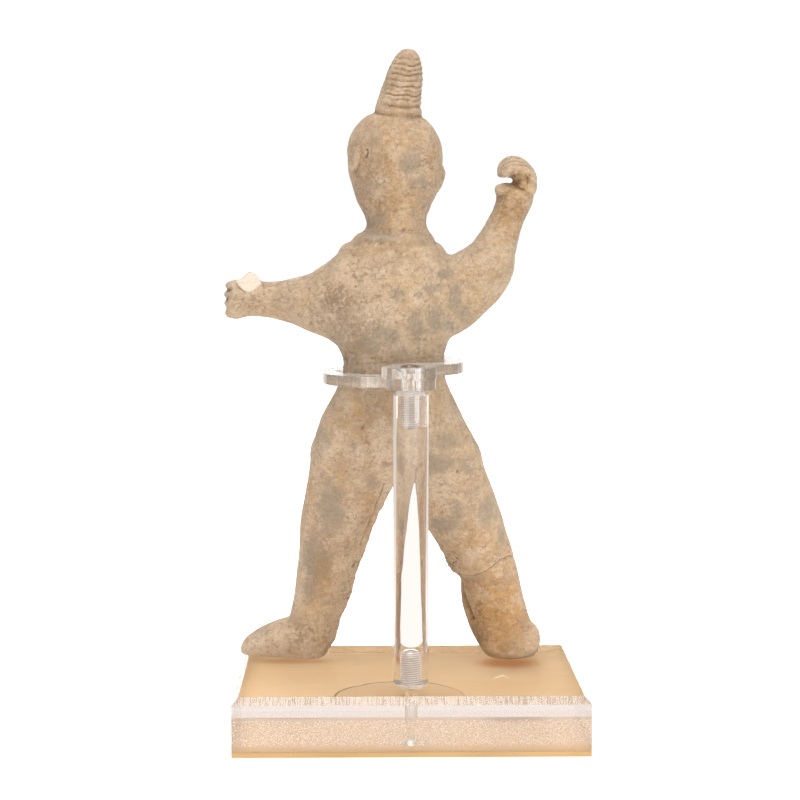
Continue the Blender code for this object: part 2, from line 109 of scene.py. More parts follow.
# Clear acrylic: how much it bends light, its colour where it is polished, and the middle,
# size and brown rim of the dulled patch on the block.
ACRYLIC_IOR = 1.49
POLISHED = (0.985, 0.985, 0.980)
PATCH_MIDDLE = (0.0068, 0.0720, 0.0335)
PATCH_REACH = 46.0
PATCH_COLOUR = (0.80, 0.78, 0.76)
PATCH_RIM = (0.30, 0.22, 0.15)

# The clay's colours, as red, green and blue light returned.
CLAY_BUFF = (0.510, 0.392, 0.266)
CLAY_OCHRE = (0.455, 0.322, 0.182)
CLAY_TAN = (0.425, 0.248, 0.100)
CLAY_PALE = (0.560, 0.445, 0.330)
CLAY_BROWN = (0.215, 0.135, 0.080)
CLAY_GREY = (0.215, 0.168, 0.118)
CLAY_SMOKE = (0.215, 0.150, 0.092)
# Painted shade, laid into the clay's hollows.
CLAY_HOLLOW_SHADE = (0.210, 0.110, 0.045)
CLAY_SHADE = (0.300, 0.215, 0.135)
CLAY_GREY_PALE = (0.335, 0.270, 0.196)
CLAY_DARK = (0.105, 0.060, 0.034)
CLAY_FRESH = (0.700, 0.600, 0.500)
# What the colour is multiplied by on the tan clay, and the painted shade that darkens the body above
# the legs.
WARM_TONE = (0.97, 0.89, 0.74)
UPPER_PAINTED_SHADE = (0.86, 0.86, 0.845)

# The board's lighter, darker and deepest grain, on its face and along its cut edge; the edge's colours
# are painted shade, a darker copy of the face's.
BOARD_FACE = ((0.990, 0.755, 0.475), (0.980, 0.730, 0.430), (0.950, 0.670, 0.360))
BOARD_EDGE_SHADED = ((0.400, 0.262, 0.118), (0.350, 0.225, 0.095), (0.280, 0.168, 0.062))
# Where the feet keep the board in shade: x, y, half width, half depth, strength.
FOOT_SHADE = [(-61, -44, 22, 17, 0.85), (69, -51, 27, 9, 0.50)]
BOARD_SHADE = (0.800, 0.350, 0.125)

# The studio: its bright and dim sides, and the backdrop as it is seen and as it lights.
ROOM_BRIGHT = (0.62, 0.54, 0.49)
ROOM_DIM = (0.50, 0.42, 0.38)
BACKDROP = (1.05, 1.05, 1.05)
BACKDROP_THROUGH = (1.02, 0.97, 0.93)
# The floor: its two colours and the dimmer one at the sides, then its glow, bright and dim, as
# it lights things and as acrylic lets it through, and the glow of the floor itself.
FLOOR_COLOURS = ((0.93, 0.93, 0.93), (0.95, 0.95, 0.95), (0.45, 0.39, 0.35))
FLOOR_GLOW = ((1, 1, 1), (0.30, 0.26, 0.23))
FLOOR_GLOW_THROUGH = ((2.08, 2.01, 1.97), (1.5, 1.35, 1.25))
FLOOR_GLOW_SEEN = (1.7, 1.7, 1.8)
FLOOR_SIZE = 6.0
FLOOR_GAP = 0.3
# The square lamps: name, place, height of what they aim at, side and watts.
LAMPS = [
    ("key_light", (-1.1, 1.5, 0.45), 0.1, 1.0, 23.5),
    ("fill_light", (0.9, 1.6, 0.25), 0.1, 1.0, 13.0),
    ("top_light", (0.15, 0.3, 1.9), 0.1, 1.2, 32.0),
    ("front_light", (0.1, -1.5, 1.1), 0.2, 0.9, 14.0)]

# The camera, in millimetres of lens and sensor, metres and radians.
LENS = 96.45
SENSOR_WIDTH = 36.0
CAMERA_PLACE = (0.02788, 1.24086, 0.29951)
CAMERA_YAW = 0.0182642
CAMERA_PITCH = 0.0860661

# The figure's shared places, and how many triangles it keeps.
FIGURE_TRIANGLES = 190000
PIT_SEED = 5
SOLE_Z = 33.85
BOX_MARGIN = 0.02
WAIST = Vector((8.9, -8.0, 0.0))
THUMB_STUMP = (92.8, -16.5, 260.6)
STUMP_FACING = (0.05, 0.75, 0.66)
HEAD_MIDDLE = Vector((7.2, -20.0, 328.0))
HEAD_TURN = math.radians(27.0)
HEAD_TILT = math.radians(13.0)
HEAD_FRAME = Matrix.Rotation(HEAD_TURN, 3, "Z") @ Matrix.Rotation(-HEAD_TILT, 3, "Y")


# ---------------------------------------------------------------- plain mesh tools

def new_object(name, mesh):
    thing = bpy.data.objects.new(name, mesh)
    bpy.context.scene.collection.objects.link(thing)
    return thing


def mesh_of(name, shells):
    """One mesh from (points in millimetres, faces) shells."""
    points = []
    faces = []
    start = 0
    for shell_points, shell_faces in shells:
        points.append(np.asarray(shell_points, float))
        faces.extend([[corner + start for corner in face] for face in shell_faces])
        start += len(shell_points)
    mesh = bpy.data.meshes.new(name)
    mesh.from_pydata((np.vstack(points) * MM).tolist(), [], faces)
    bm = bmesh.new()
    bm.from_mesh(mesh)
    bmesh.ops.recalc_face_normals(bm, faces=bm.faces)
    bm.to_mesh(mesh)
    bm.free()
    return mesh


def settle(thing):
    """Turns an object's modifiers into plain mesh and takes them off."""
    bpy.context.view_layer.update()
    evaluated = thing.evaluated_get(bpy.context.evaluated_depsgraph_get())
    mesh = bpy.data.meshes.new_from_object(evaluated)
    mesh.name = thing.name
    thing.modifiers.clear()
    thing.data = mesh
    return thing


def points_of(mesh):
    points = np.empty(len(mesh.vertices) * 3, np.float32)
    mesh.vertices.foreach_get("co", points)
    return points.reshape(-1, 3).astype(float) / MM


def normals_of(mesh):
    normals = np.empty(len(mesh.vertices) * 3, np.float32)
    mesh.vertex_normals.foreach_get("vector", normals)
    return normals.reshape(-1, 3).astype(float)


def set_points(mesh, points):
    mesh.vertices.foreach_set("co", (points * MM).astype(np.float32).ravel())
    mesh.update()


def faces_of(mesh):
    return [list(polygon.vertices) for polygon in mesh.polygons]


def paint(mesh, name, values):
    """A named value at each point, for the materials to read."""
    attribute = mesh.attributes.new(name, "FLOAT", "POINT")
    attribute.data.foreach_set("value", np.clip(values, 0.0, 1.0).astype(np.float32))


def cut(thing, cutter, operation="DIFFERENCE"):
    """Joins or takes away another solid, which is used up."""
    boolean = thing.modifiers.new("cut", "BOOLEAN")
    boolean.operation = operation
    boolean.solver = "EXACT"
    boolean.object = cutter
    settle(thing)
    bpy.data.objects.remove(cutter)


def round_edges(thing, width, segments=2, degrees=30.0):
    bevel = thing.modifiers.new("edge", "BEVEL")
    bevel.width = width * MM
    bevel.segments = segments
    bevel.limit_method = "ANGLE"
    bevel.angle_limit = math.radians(degrees)
    bevel.use_clamp_overlap = True
    settle(thing)


def shade_round(mesh, degrees=18.0):
    """Shades curves smooth and keeps every broad flat face truly flat."""
    mesh.shade_smooth()
    mesh.set_sharp_from_angle(angle=math.radians(degrees))
    bm = bmesh.new()
    bm.from_mesh(mesh)
    for edge in bm.edges:
        areas = sorted(face.calc_area() for face in edge.link_faces)
        if len(areas) == 2 and areas[1] > 20 * areas[0] and edge.calc_face_angle(0.0) > 0.02:
            edge.smooth = False
    bm.to_mesh(mesh)
    bm.free()


# ---------------------------------------------------------------- forms

def smooth_rows(rows, steps=8):
    """Rows of numbers, filled in with a Catmull-Rom curve that passes through them."""
    rows = np.array(rows, float)
    padded = np.vstack([rows[:1], rows, rows[-1:]])
    t = (np.arange(steps) / steps)[:, None]
    filled = []
    for before, start, end, after in zip(padded[:-3], padded[1:-2], padded[2:-1], padded[3:]):
        filled.append(0.5 * (2 * start + (end - before) * t
                             + (2 * before - 5 * start + 4 * end - after) * t ** 2
                             + (3 * start - before - 3 * end + after) * t ** 3))
    return np.vstack(filled + [rows[-1:]])


def oval(squareness=2.0, segments=72):
    """The two shares of a section's half-axes, all round it."""
    angle = np.linspace(0.0, 2 * np.pi, segments, endpoint=False)
    power = 2.0 / squareness
    c = np.cos(angle)
    s = np.sin(angle)
    return np.sign(c) * np.abs(c) ** power, np.sign(s) * np.abs(s) ** power


def skin(rings, closed=False):
    """A closed skin over rows of points. A closed row of rings joins its last to its first."""
    count, around = rings.shape[:2]
    index = np.arange(count * around).reshape(count, around)
    if closed:
        index = np.vstack([index, index[:1]])
    following = np.roll(index, -1, axis=1)
    quads = np.stack([index[:-1], following[:-1], following[1:], index[1:]], -1).reshape(-1, 4)
    faces = quads.tolist()
    if not closed:
        faces += [index[0][::-1].tolist(), index[-1].tolist()]
    return rings.reshape(-1, 3), faces


def stack(sections, squareness=2.0, turn=0.0, depth_ratio=None):
    """Level sections, lowest first: height, left side, right side, middle depth, half depth."""
    height, left, right, y, half_depth = smooth_rows(sections).T
    half = (left - right) / 2
    if depth_ratio:
        half = half / math.hypot(math.cos(turn), depth_ratio * math.sin(turn))
        half_depth = half * depth_ratio
    c, s = oval(squareness)
    across = half[:, None] * c
    deep = half_depth[:, None] * s
    rings = np.stack([(left + right)[:, None] / 2 + across * math.cos(turn) - deep * math.sin(turn),
                      y[:, None] + across * math.sin(turn) + deep * math.cos(turn),
                      np.repeat(height[:, None], len(c), axis=1)], -1)
    return skin(rings)


def sweep(stations, squareness=2.0, side=(0.0, 1.0, 0.0), steps=8, segments=48):
    """Sections across a bent path: x, y, z, half width square to the side, half width along it."""
    rows = smooth_rows(stations, steps)
    middles = rows[:, :3]
    ahead = np.gradient(middles, axis=0)
    ahead /= np.linalg.norm(ahead, axis=1)[:, None]
    across = np.cross(ahead, side)
    across /= np.linalg.norm(across, axis=1)[:, None]
    deep = np.cross(ahead, across)
    c, s = oval(squareness, segments)
    rings = (middles[:, None] + across[:, None] * (rows[:, 3:4] * c)[..., None]
             + deep[:, None] * (rows[:, 4:5] * s)[..., None])
    return skin(rings)


def lump(place, radii, turn=None, segments=40):
    """A squashed ball."""
    latitude = np.radians(np.linspace(-87.0, 87.0, 21))[:, None]
    c, s = oval(2.0, segments)
    rings = np.stack([np.cos(latitude) * c * radii[0], np.cos(latitude) * s * radii[1],
                      np.repeat(np.sin(latitude) * radii[2], segments, axis=1)], -1)
    if turn is not None:
        rings = rings @ np.array(turn).T
    return skin(rings + np.array(place))


def press(name, shells, voxel, smoothing):
    """Presses overlapping forms into one skin of clay."""
    thing = new_object(name, mesh_of(name, shells))
    remesh = thing.modifiers.new("press", "REMESH")
    remesh.mode = "VOXEL"
    remesh.voxel_size = voxel * MM
    blend = thing.modifiers.new("blend", "SMOOTH")
    blend.factor = 0.5
    blend.iterations = smoothing
    return settle(thing)


# ---------------------------------------------------------------- figure: forms

def trunk_and_legs():
    trunk = stack([
        (151, 42, -28, -18, 9), (155, 51, -37, -17, 18), (160, 55.5, -40, -15, 23.5),
        (170, 55, -38, -12.5, 27), (180, 51.9, -32.5, -10, 28), (192, 45.6, -26.8, -8, 28),
        (203, 40.4, -22, -8, 27.5), (210, 38.4, -20.8, -8, 27), (217, 38.6, -20.6, -9, 27.5),
        (227, 43, -23.6, -10, 30), (240, 46, -30, -12, 32), (255, 44, -31, -14, 31),
        (268, 38.5, -26.5, -15, 28), (280, 34.2, -20.8, -16, 23),
        (284.5, 31, -16.6, -16.5, 20.5), (289, 27.2, -12.6, -17, 18),
        (294, 24.6, -10.2, -17, 16.5), (302, 24, -10, -18, 16)])
    left_leg = stack([
        (34, 71, 49.5, -43, 13.5), (44, 71.5, 44.3, -43, 15), (54, 71.5, 41.2, -43, 15.8),
        (63, 70.4, 37.5, -42.5, 16), (72, 68.4, 33.8, -42, 16.5), (86, 67, 30.4, -40, 17.5),
        (100, 65.3, 25.6, -36, 18.8), (115, 64.3, 20.6, -32, 20.5), (132, 61.7, 13, -27, 22.5),
        (150, 58.3, 3, -20, 25), (165, 57, 1, -15, 26.5), (182, 48, 2, -10, 24)])
    right_leg = stack([
        (36, -46.5, -76, -32, 14), (44, -41.5, -78.6, -32, 16.4), (52, -37.4, -75.6, -32.5, 16.8),
        (62, -34, -72.4, -33, 17), (72, -31.6, -69.8, -33, 17.2), (82, -31.2, -67.6, -33, 17.2),
        (85, -29, -67, -32.5, 17.6), (88, -25.4, -66.4, -32, 18), (100, -19.6, -62.8, -31, 19.2),
        (115, -11, -58, -28, 20.8), (132, -3, -52.6, -24.5, 22.8),
        (150, 10, -45.5, -20, 25), (165, 14, -41, -15, 26.5), (182, 12, -29, -10, 24)])
    return [trunk, left_leg, right_leg]


def feet():
    left_foot = sweep([
        (50, -40, 37, 9.5, 8.5), (56, -41, 39.5, 13, 14),
        (66, -43.5, 41.8, 14.8, 15), (74, -46, 41.2, 14.2, 15),
        (83.6, -49.5, 39.1, 12.1, 14), (91, -52, 36.7, 9.7, 12.8),
        (96.5, -54, 34.6, 7.4, 10.6), (99.6, -55, 33.6, 4.4, 6.5)], squareness=2.3)
    rings = []
    c, s = oval(2.3)
    for y, low, high, middle, half_width in smooth_rows([
            (-15.5, 38.5, 48, -61.5, 11), (-18.5, 36, 53, -61.5, 16),
            (-26, 34, 57, -61.5, 18.2), (-36, 30, 58, -62.3, 18),
            (-46, 27, 57, -63, 17), (-58, 27, 51.5, -64, 15.8),
            (-68, 27, 46.5, -65, 14), (-75, 30, 42, -65.5, 9)]):
        rings.append(np.stack([middle + half_width * c, np.full(len(c), y),
                               (low + high) / 2 + (high - low) / 2 * s], -1))
    return [left_foot, skin(np.array(rings))]


def arms():
    left = sweep([
        (14, -13, 250, 30, 24), (34, -15, 249.5, 31, 23),
        (46, -16.5, 249, 23.4, 18.5), (56, -18, 248.6, 17.8, 15),
        (66, -19.5, 249.3, 14, 12.5), (76, -21, 249.5, 11.5, 11),
        (86, -22, 250, 10.4, 10.4), (92, -22.5, 250.8, 11.2, 11)], segments=72)
    right = sweep([
        (2, -13, 252, 26, 24), (-18, -14, 252.6, 25.4, 22),
        (-34, -15.5, 258.9, 20.2, 18), (-45.2, -17, 269.4, 17.2, 15.5),
        (-51.3, -18.5, 281.5, 12.6, 12.8), (-56, -19.5, 293, 10.4, 10.8),
        (-60.4, -20, 303, 10, 9.8), (-62.4, -20, 309, 10.9, 10.2),
        (-64, -20, 314.6, 10.4, 9.8)], segments=72)
    return [left, right, lump((31, -17, 278), (10, 13, 6.4))]


def skull():
    return stack([
        (293, 24.5, -10, -17, 0), (299, 25.6, -10.6, -18, 0), (306, 29.3, -13.7, -21.5, 0),
        (315, 32.5, -18, -22, 0), (326, 35.1, -20, -21, 0), (338, 35.1, -19.8, -20, 0),
        (347, 33.1, -16.5, -19, 0), (354, 28, -11.4, -19, 0), (359, 21, -5, -19, 0),
        (362, 13, 2, -19, 0)], turn=HEAD_TURN, depth_ratio=1.1)


def topknot():
    """The tall knot of hair, leaning to the right and back."""
    return sweep([
        (6.4, -15.6, 349, 13.9, 13.9), (6.2, -15.4, 355.5, 14, 14),
        (5.6, -15.4, 361.5, 13.5, 13.4), (4.5, -15.6, 368, 12.3, 12.2),
        (2.8, -15.8, 376, 11.2, 11.2), (1.3, -15.6, 384, 9.7, 9.7),
        (0.4, -15.2, 390.5, 7.3, 7.4), (0.2, -14.9, 394.3, 4.2, 4.4),
        (0.2, -14.8, 395.6, 1.6, 1.6)], segments=96)


def neckband():
    """A raised band laid round the base of the neck."""
    angle = np.linspace(0, 2 * np.pi, 96, endpoint=False)
    c, s = oval(2.2, 24)
    out = np.stack([np.cos(angle), np.sin(angle), np.zeros(96)], -1)
    middle = np.stack([8.2 + 20.4 * np.cos(angle), -17 + 19.2 * np.sin(angle),
                       285.6 + 0.6 * np.sin(angle) + 1.1 * np.cos(angle)], -1)
    up = np.array([0, 0, 1])
    rings = middle[:, None] + out[:, None] * (3.5 * c)[:, None] + up * (2.5 * s - 1.3 * c)[:, None]
    return skin(rings, closed=True)


def on_head(place):
    """A point given to the head's left, behind its middle and above it."""
    return HEAD_MIDDLE + HEAD_FRAME @ Vector(place)


def head_lump(place, radii):
    return lump(on_head(place), radii, HEAD_FRAME)


def head_features():
    """Ears and a plain, even-featured nose: its bridge, tip and wings."""
    shells = []
    for side, out in ((1, 0), (-1, 1.7)):
        shells.append(head_lump((side * (26.9 + out), 1, 0), (3.2, 5.2, 8.6)))
        shells.append(head_lump((side * (27.7 + out), 2, 1), (2.4, 4.2, 6)))
        shells.append(head_lump((side * (27.4 + out), -0.5, -6.4), (2.4, 3, 3.2)))
        shells.append(head_lump((side * 3, -31.2, -8.4), (2.3, 3, 2.1)))
    for share in np.linspace(0, 1, 9):
        width = 2 + 1.1 * share
        shells.append(head_lump((0, -28.2 - 4 * share, 5 - 12.6 * share), (width, 3.4, 3)))
    return shells


def left_fist():
    """A blunt closed hand: four finger ends show along its edge, and a thumb stump on top."""
    shells = [sweep([
        (86, -21.5, 250.2, 9.8, 9.8), (91, -21.5, 250.3, 10.2, 10.4),
        (97, -21.5, 250.6, 11, 11), (102, -21.5, 250.2, 11.5, 11),
        (104, -21.5, 250.5, 10.6, 10.2), (105.2, -21.5, 250.8, 9.2, 9)], squareness=3.2)]
    for height, reach in ((243, 107.2), (248, 108.2), (253.2, 108.3), (258.2, 107.6)):
        shells.append(lump((reach - 6, -21.5, height), (6, 10.4, 3)))
    facing = Vector(STUMP_FACING).normalized()
    stump = [(*(Vector(THUMB_STUMP) + facing * along), 7.3 + grow, 6.3 + grow)
             for along, grow in ((-12, 2.2), (-8, 1.6), (-4, 0.9), (0, 0.2), (1.6, 0))]
    shells.append(sweep(stump, squareness=1.35, side=(1, 0, 0)))
    return shells


def right_hand():
    """The raised hand: four fingers curl over, each higher than the one nearer the back."""
    shells = [lump((-70.2, -20, 316.5), (5.2, 9.8, 7)),
              lump((-67.6, -18.5, 320.5), (6.6, 8.4, 8.6)),
              lump((-67, -17, 323.2), (7, 8, 4.6)),
              lump((-71.4, -16.5, 320.6), (3.7, 7.6, 5.4)),
              lump((-60.2, -19, 324.6), (6.4, 8.6, 3.3))]
    for y, crest, reach in ((-11.4, 328.4, 7.9), (-16.4, 330.6, 8.2),
                            (-21.6, 332.7, 8.6), (-26.8, 334.5, 8.9)):
        middle_x, middle_z = -64.1, 321.2
        rise = crest - 2.6 - middle_z
        stations = []
        bends = [(degrees, 1) for degrees in range(200, 13, -12)]
        for degrees, size in bends + [(7, 0.85), (3, 0.45)]:
            angle = math.radians(degrees)
            up = rise * math.sin(angle)
            stations.append((middle_x + reach * math.cos(angle) + 0.22 * max(up, 0), y,
                             middle_z + up, 2.6 * size, 2.9 * size))
        shells.append(sweep(stations, squareness=2.2, steps=3, segments=24))
    shells.append(sweep([
        (-68, -18.5, 309, 5, 7.4), (-62, -18, 312.5, 5, 7),
        (-57, -17.5, 314, 4.3, 6.2), (-53.2, -17.5, 313.8, 3.6, 5.4),
        (-51, -17.5, 313.4, 2.4, 4)], squareness=2.2))
    return shells


# ---------------------------------------------------------------- figure: surface work

def bell(distance, width):
    return np.exp(-(distance / width) ** 2)


def ramp(value, start, end):
    t = np.clip((value - start) / (end - start), 0, 1)
    return t * t * (3 - 2 * t)


def cloud(points, size, octaves=3, shift=0):
    """Soft uneven values between about -1 and 1, with lumps of the given size."""
    offset = Vector((shift, -shift, 2 * shift))
    return np.array([noise.fractal(Vector(point) / size + offset, 0.9, 2.1, octaves)
                     for point in points.tolist()])


def from_line(points, line):
    """How far each point is, looking along Y, from a bent line of (x, z) places."""
    flat = points[:, [0, 2]]
    nearest = np.full(len(flat), 1e6)
    for start, end in zip(line[:-1], line[1:]):
        start = np.array(start, float)
        along = np.array(end, float) - start
        t = np.clip((flat - start) @ along / (along @ along), 0, 1)
        away = np.linalg.norm(flat - start - t[:, None] * along, axis=1)
        nearest = np.minimum(nearest, away)
    return nearest


SHIN_BREAK = [(-20, 84.5), (-26, 86.3), (-36, 85.6), (-44, 88.5), (-49.5, 91.8),
              (-54.5, 96.2), (-60.7, 97.2), (-68, 95)]
SHIN_SLIT = [(-31.2, 79), (-33, 72), (-36.4, 64), (-38.6, 59)]
LEFT_SEAM = [(14, 142), (22, 120), (28.5, 103), (33, 90)]
LEFT_FLANGE = [(11, 138), (20.6, 115), (27, 97), (31.5, 83), (38.5, 62), (45, 42)]


def work_topknot(points):
    """Incised rings round the knot, uneven and a little sloped, fading on its left flank."""
    x, y, z = points.T
    axis_x = np.interp(z, [353, 368, 384, 396], [5.8, 4.5, 1.3, 0.2])
    sag = z - 0.07 * (x - axis_x) - 0.010 * (x - axis_x) ** 2
    wander = 0.45 * np.sin(x * 0.55 + z * 0.3) + 0.3 * np.sin(y * 0.7)
    rings = 0
    for place, depth in ((389.4, 0.40), (386, 0.60), (383, 0.50), (380.2, 0.66), (376.6, 0.50),
                         (373.2, 0.62), (370.6, 0.42), (368.2, 0.66), (365.4, 0.42)):
        rings = rings + depth * bell(sag + wander - place, 0.75)
    rings = rings + 0.85 * bell(sag - 361.6, 1.3)
    flank = 1 - 0.8 * ramp(x - axis_x, 6, 11)
    root = 0.5 * bell(sag - 355.6, 1.5) * ramp(z, 351, 353)
    return -(rings * flank * ramp(z, 356.5, 358.5) + root)


def work_face(points):
    """A calm, even face: brows, closed lids, lips and chin, on the usual thirds."""
    local = (points - np.array(HEAD_MIDDLE)) @ np.array(HEAD_FRAME)
    x, y, z = local.T
    front = ramp(-y, 12, 20)
    side = np.abs(x)
    work = 0
    lid_arc = 1.4 - 0.020 * (side - 10) ** 2
    work += -2.3 * np.exp(-((side - 9.5) / 6.2) ** 2 - ((z - 2.4) / 3.9) ** 2)
    work += 1.9 * np.exp(-((side - 10) / 4.6) ** 4 - ((z - 1.2) / 2.6) ** 2)
    work += -0.75 * bell(z - (lid_arc - 1.1), 0.62) * np.exp(-((side - 10) / 4.6) ** 6)
    work += -0.45 * bell(z - (lid_arc + 2.6), 0.7) * np.exp(-((side - 10) / 5) ** 6)
    brow_arc = 7.4 - 0.028 * (side - 8.5) ** 2
    work += 1 * bell(z - brow_arc, 1.5) * np.exp(-((side - 9.5) / 6.6) ** 4)
    work += 0.9 * np.exp(-((side - 13.5) / 6) ** 2 - ((z + 6.5) / 5) ** 2)
    lip_arc = -14.6 + 0.012 * x ** 2
    mouth = np.exp(-(x / 6.6) ** 4)
    work += 1.3 * bell(z - (lip_arc + 1.35 - 0.25 * bell(x, 1.5)), 1.25) * mouth
    work += 1.5 * bell(z - (lip_arc - 1.75), 1.45) * np.exp(-(x / 5.4) ** 4)
    work += -1.2 * bell(z - lip_arc, 0.62) * np.exp(-(x / 7) ** 6)
    work += -0.9 * np.exp(-(x / 5) ** 2 - ((z + 18.6) / 1.5) ** 2)
    work += 1.9 * np.exp(-(x / 6.5) ** 2 - ((z + 22.4) / 3.4) ** 2)
    work += -0.35 * np.exp(-(x / 1.1) ** 2 - ((z + 11.6) / 1.3) ** 2)
    hairline = z - (19 - 0.03 * x ** 2)
    work += 0.9 * ramp(hairline, -0.8, 0.8) * ramp(z, -2, 4)
    ear = np.exp(-((side - 29.5) / 3) ** 2 - ((y - 0.5) / 2.6) ** 2 - ((z - 1.2) / 4.6) ** 2)
    return work * front - ear


def work_dress(points, normals):
    """A crossed front, a belt, and the rough seams down the legs."""
    x, y, z = points.T
    front = ramp(-normals[:, 1], 0.05, 0.4)
    back = ramp(normals[:, 1], 0.05, 0.4)
    over = from_line(points, [(25, 287), (16, 268), (2, 246), (-12, 224)])
    under = from_line(points, [(-10, 287), (-4, 270), (3, 257)])
    lapel = ramp(over, 4.4, 3.2) * 0.9
    lapel = np.maximum(lapel, ramp(under, 4.2, 3) * 0.6 * ramp(over, 3.6, 5))
    work = lapel * front * ramp(z, 214, 222)
    belt_low = 206.5 - 0.06 * (x - 9)
    belt_high = 215.6 - 0.10 * (x - 9)
    belt = ramp(z, belt_low - 0.6, belt_low + 0.6) * ramp(z, belt_high + 0.6, belt_high - 0.6)
    work += 0.15 * belt
    work -= 0.10 * bell(z - belt_high - 0.4, 0.8)
    work -= 0.15 * bell(z - (belt_high + 3.4 + 0.02 * x), 0.6) * back
    inner = ramp(-normals[:, 0], -0.25, 0.35) * ramp(x, 4, 9)
    flange = from_line(points, LEFT_FLANGE)
    work += inner * bell(flange, 2.6) * (0.55 + 0.75 * cloud(points, 3.2, 2, 7))
    seam = from_line(points, LEFT_SEAM)
    work -= 0.75 * back * bell(seam, 0.75) * ramp(cloud(points, 9, 2, 3), -0.5, 0.1)
    return work


def work_breaks(points, normals):
    """The mended break across the right shin, the loss beside it, and small chips."""
    x, y, z = points.T
    line = np.array(SHIN_BREAK)
    wiggle = 0.5 * cloud(points, 3, 2, 11)
    height = np.interp(-x, -line[:, 0], line[:, 1]) + wiggle
    leg = ramp(-x, 17, 20) * ramp(z, 112, 104) * ramp(z, 60, 70)
    below = height - z
    work = -0.70 * leg * bell(below, 0.50)
    work -= 0.45 * leg * ramp(below, 0, 0.8) * bell(np.maximum(below, 0), 16)
    ragged = ramp(x, -33, -29) * ramp(z, 76, 79) * ramp(z, 108, 92) * (x < 0)
    work += ragged * ramp(normals[:, 0], 0.1, 0.6) * 1.1 * cloud(points, 2.6, 2, 5)
    slit = from_line(points, SHIN_SLIT)
    behind = ramp(y, -34, -27)
    work -= 2.6 * behind * bell(slit, 0.95) * ramp(x, -46, -42) * (x < -28)
    rim = from_line(points, [(-29.5, 79), (-31, 72), (-34.4, 63)])
    work += 0.7 * behind * bell(rim, 1.1) * (x < -26) * ramp(z, 56, 60)
    for place, radius, depth in (
            ((-16.6, 284.8), 1.5, 1.7), ((57.5, 236.5), 2, 0.5), ((70, 256), 1.3, 0.45),
            ((-28, 151), 1.2, 0.5), ((27, 177.5), 1.6, 0.7), ((-34, 171), 1.6, 0.8)):
        away = np.hypot(x - place[0], (z - place[1]) * 0.8)
        work -= depth * bell(away, radius) * ramp(normals[:, 1], -0.3, 0.1)
    scratch = from_line(points, [(2.2, 316), (-3.5, 315), (-11, 315.6)])
    work -= 0.25 * bell(scratch, 0.6) * ramp(normals[:, 1], 0.2, 0.5)
    ear_crease = from_line(points, [(24.4, 337.2), (24, 335), (24.7, 332.8)])
    work -= 0.9 * bell(ear_crease, 0.7) * ramp(normals[:, 1], 0, 0.3)
    hollow = np.exp(-((x + 63.4) / 2.6) ** 2 - ((z - 318.4) / 2.2) ** 2)
    work -= 1.2 * hollow * ramp(normals[:, 1], 0.2, 0.6)
    return work


def scatter_pits(points, normals, seed):
    """Small pits pressed in at random, thicker at the wrist, the left foot and the shoulder."""
    generator = np.random.default_rng(seed)
    tree = kdtree.KDTree(len(points))
    for index, point in enumerate(points.tolist()):
        tree.insert(point, index)
    tree.balance()
    x, y, z = points.T
    chance = 0.25 + 3 * bell(np.hypot(x + 59, z - 303), 9)
    chance += 2 * bell(np.hypot(x - 42, z - 248), 13) * (normals[:, 1] > 0)
    chance += 2 * bell(np.hypot(x - 66, z - 44), 16)
    chance += 1.2 * bell(np.hypot(x - 20, (z - 150) * 0.5), 18)
    picks = generator.choice(len(points), 620, replace=False, p=chance / chance.sum())
    work = np.zeros(len(points))
    for pick in picks:
        radius = generator.uniform(0.45, 0.95)
        depth = generator.uniform(0.08, 0.30)
        for _, index, distance in tree.find_range(points[pick], radius * 2):
            work[index] = min(work[index], -depth * math.exp(-(distance / radius) ** 2))
    return work


def flatten(points, centre, reach, plane_point, plane_normal):
    """Pares a lump down to a flat facet near its centre."""
    near = ramp(np.linalg.norm(points - np.array(centre), axis=1), reach + 1, reach - 1)
    normal = np.array(plane_normal) / np.linalg.norm(plane_normal)
    above = np.maximum((points - np.array(plane_point)) @ normal, 0)
    points -= (above * near)[:, None] * normal


# ---------------------------------------------------------------- figure: stains

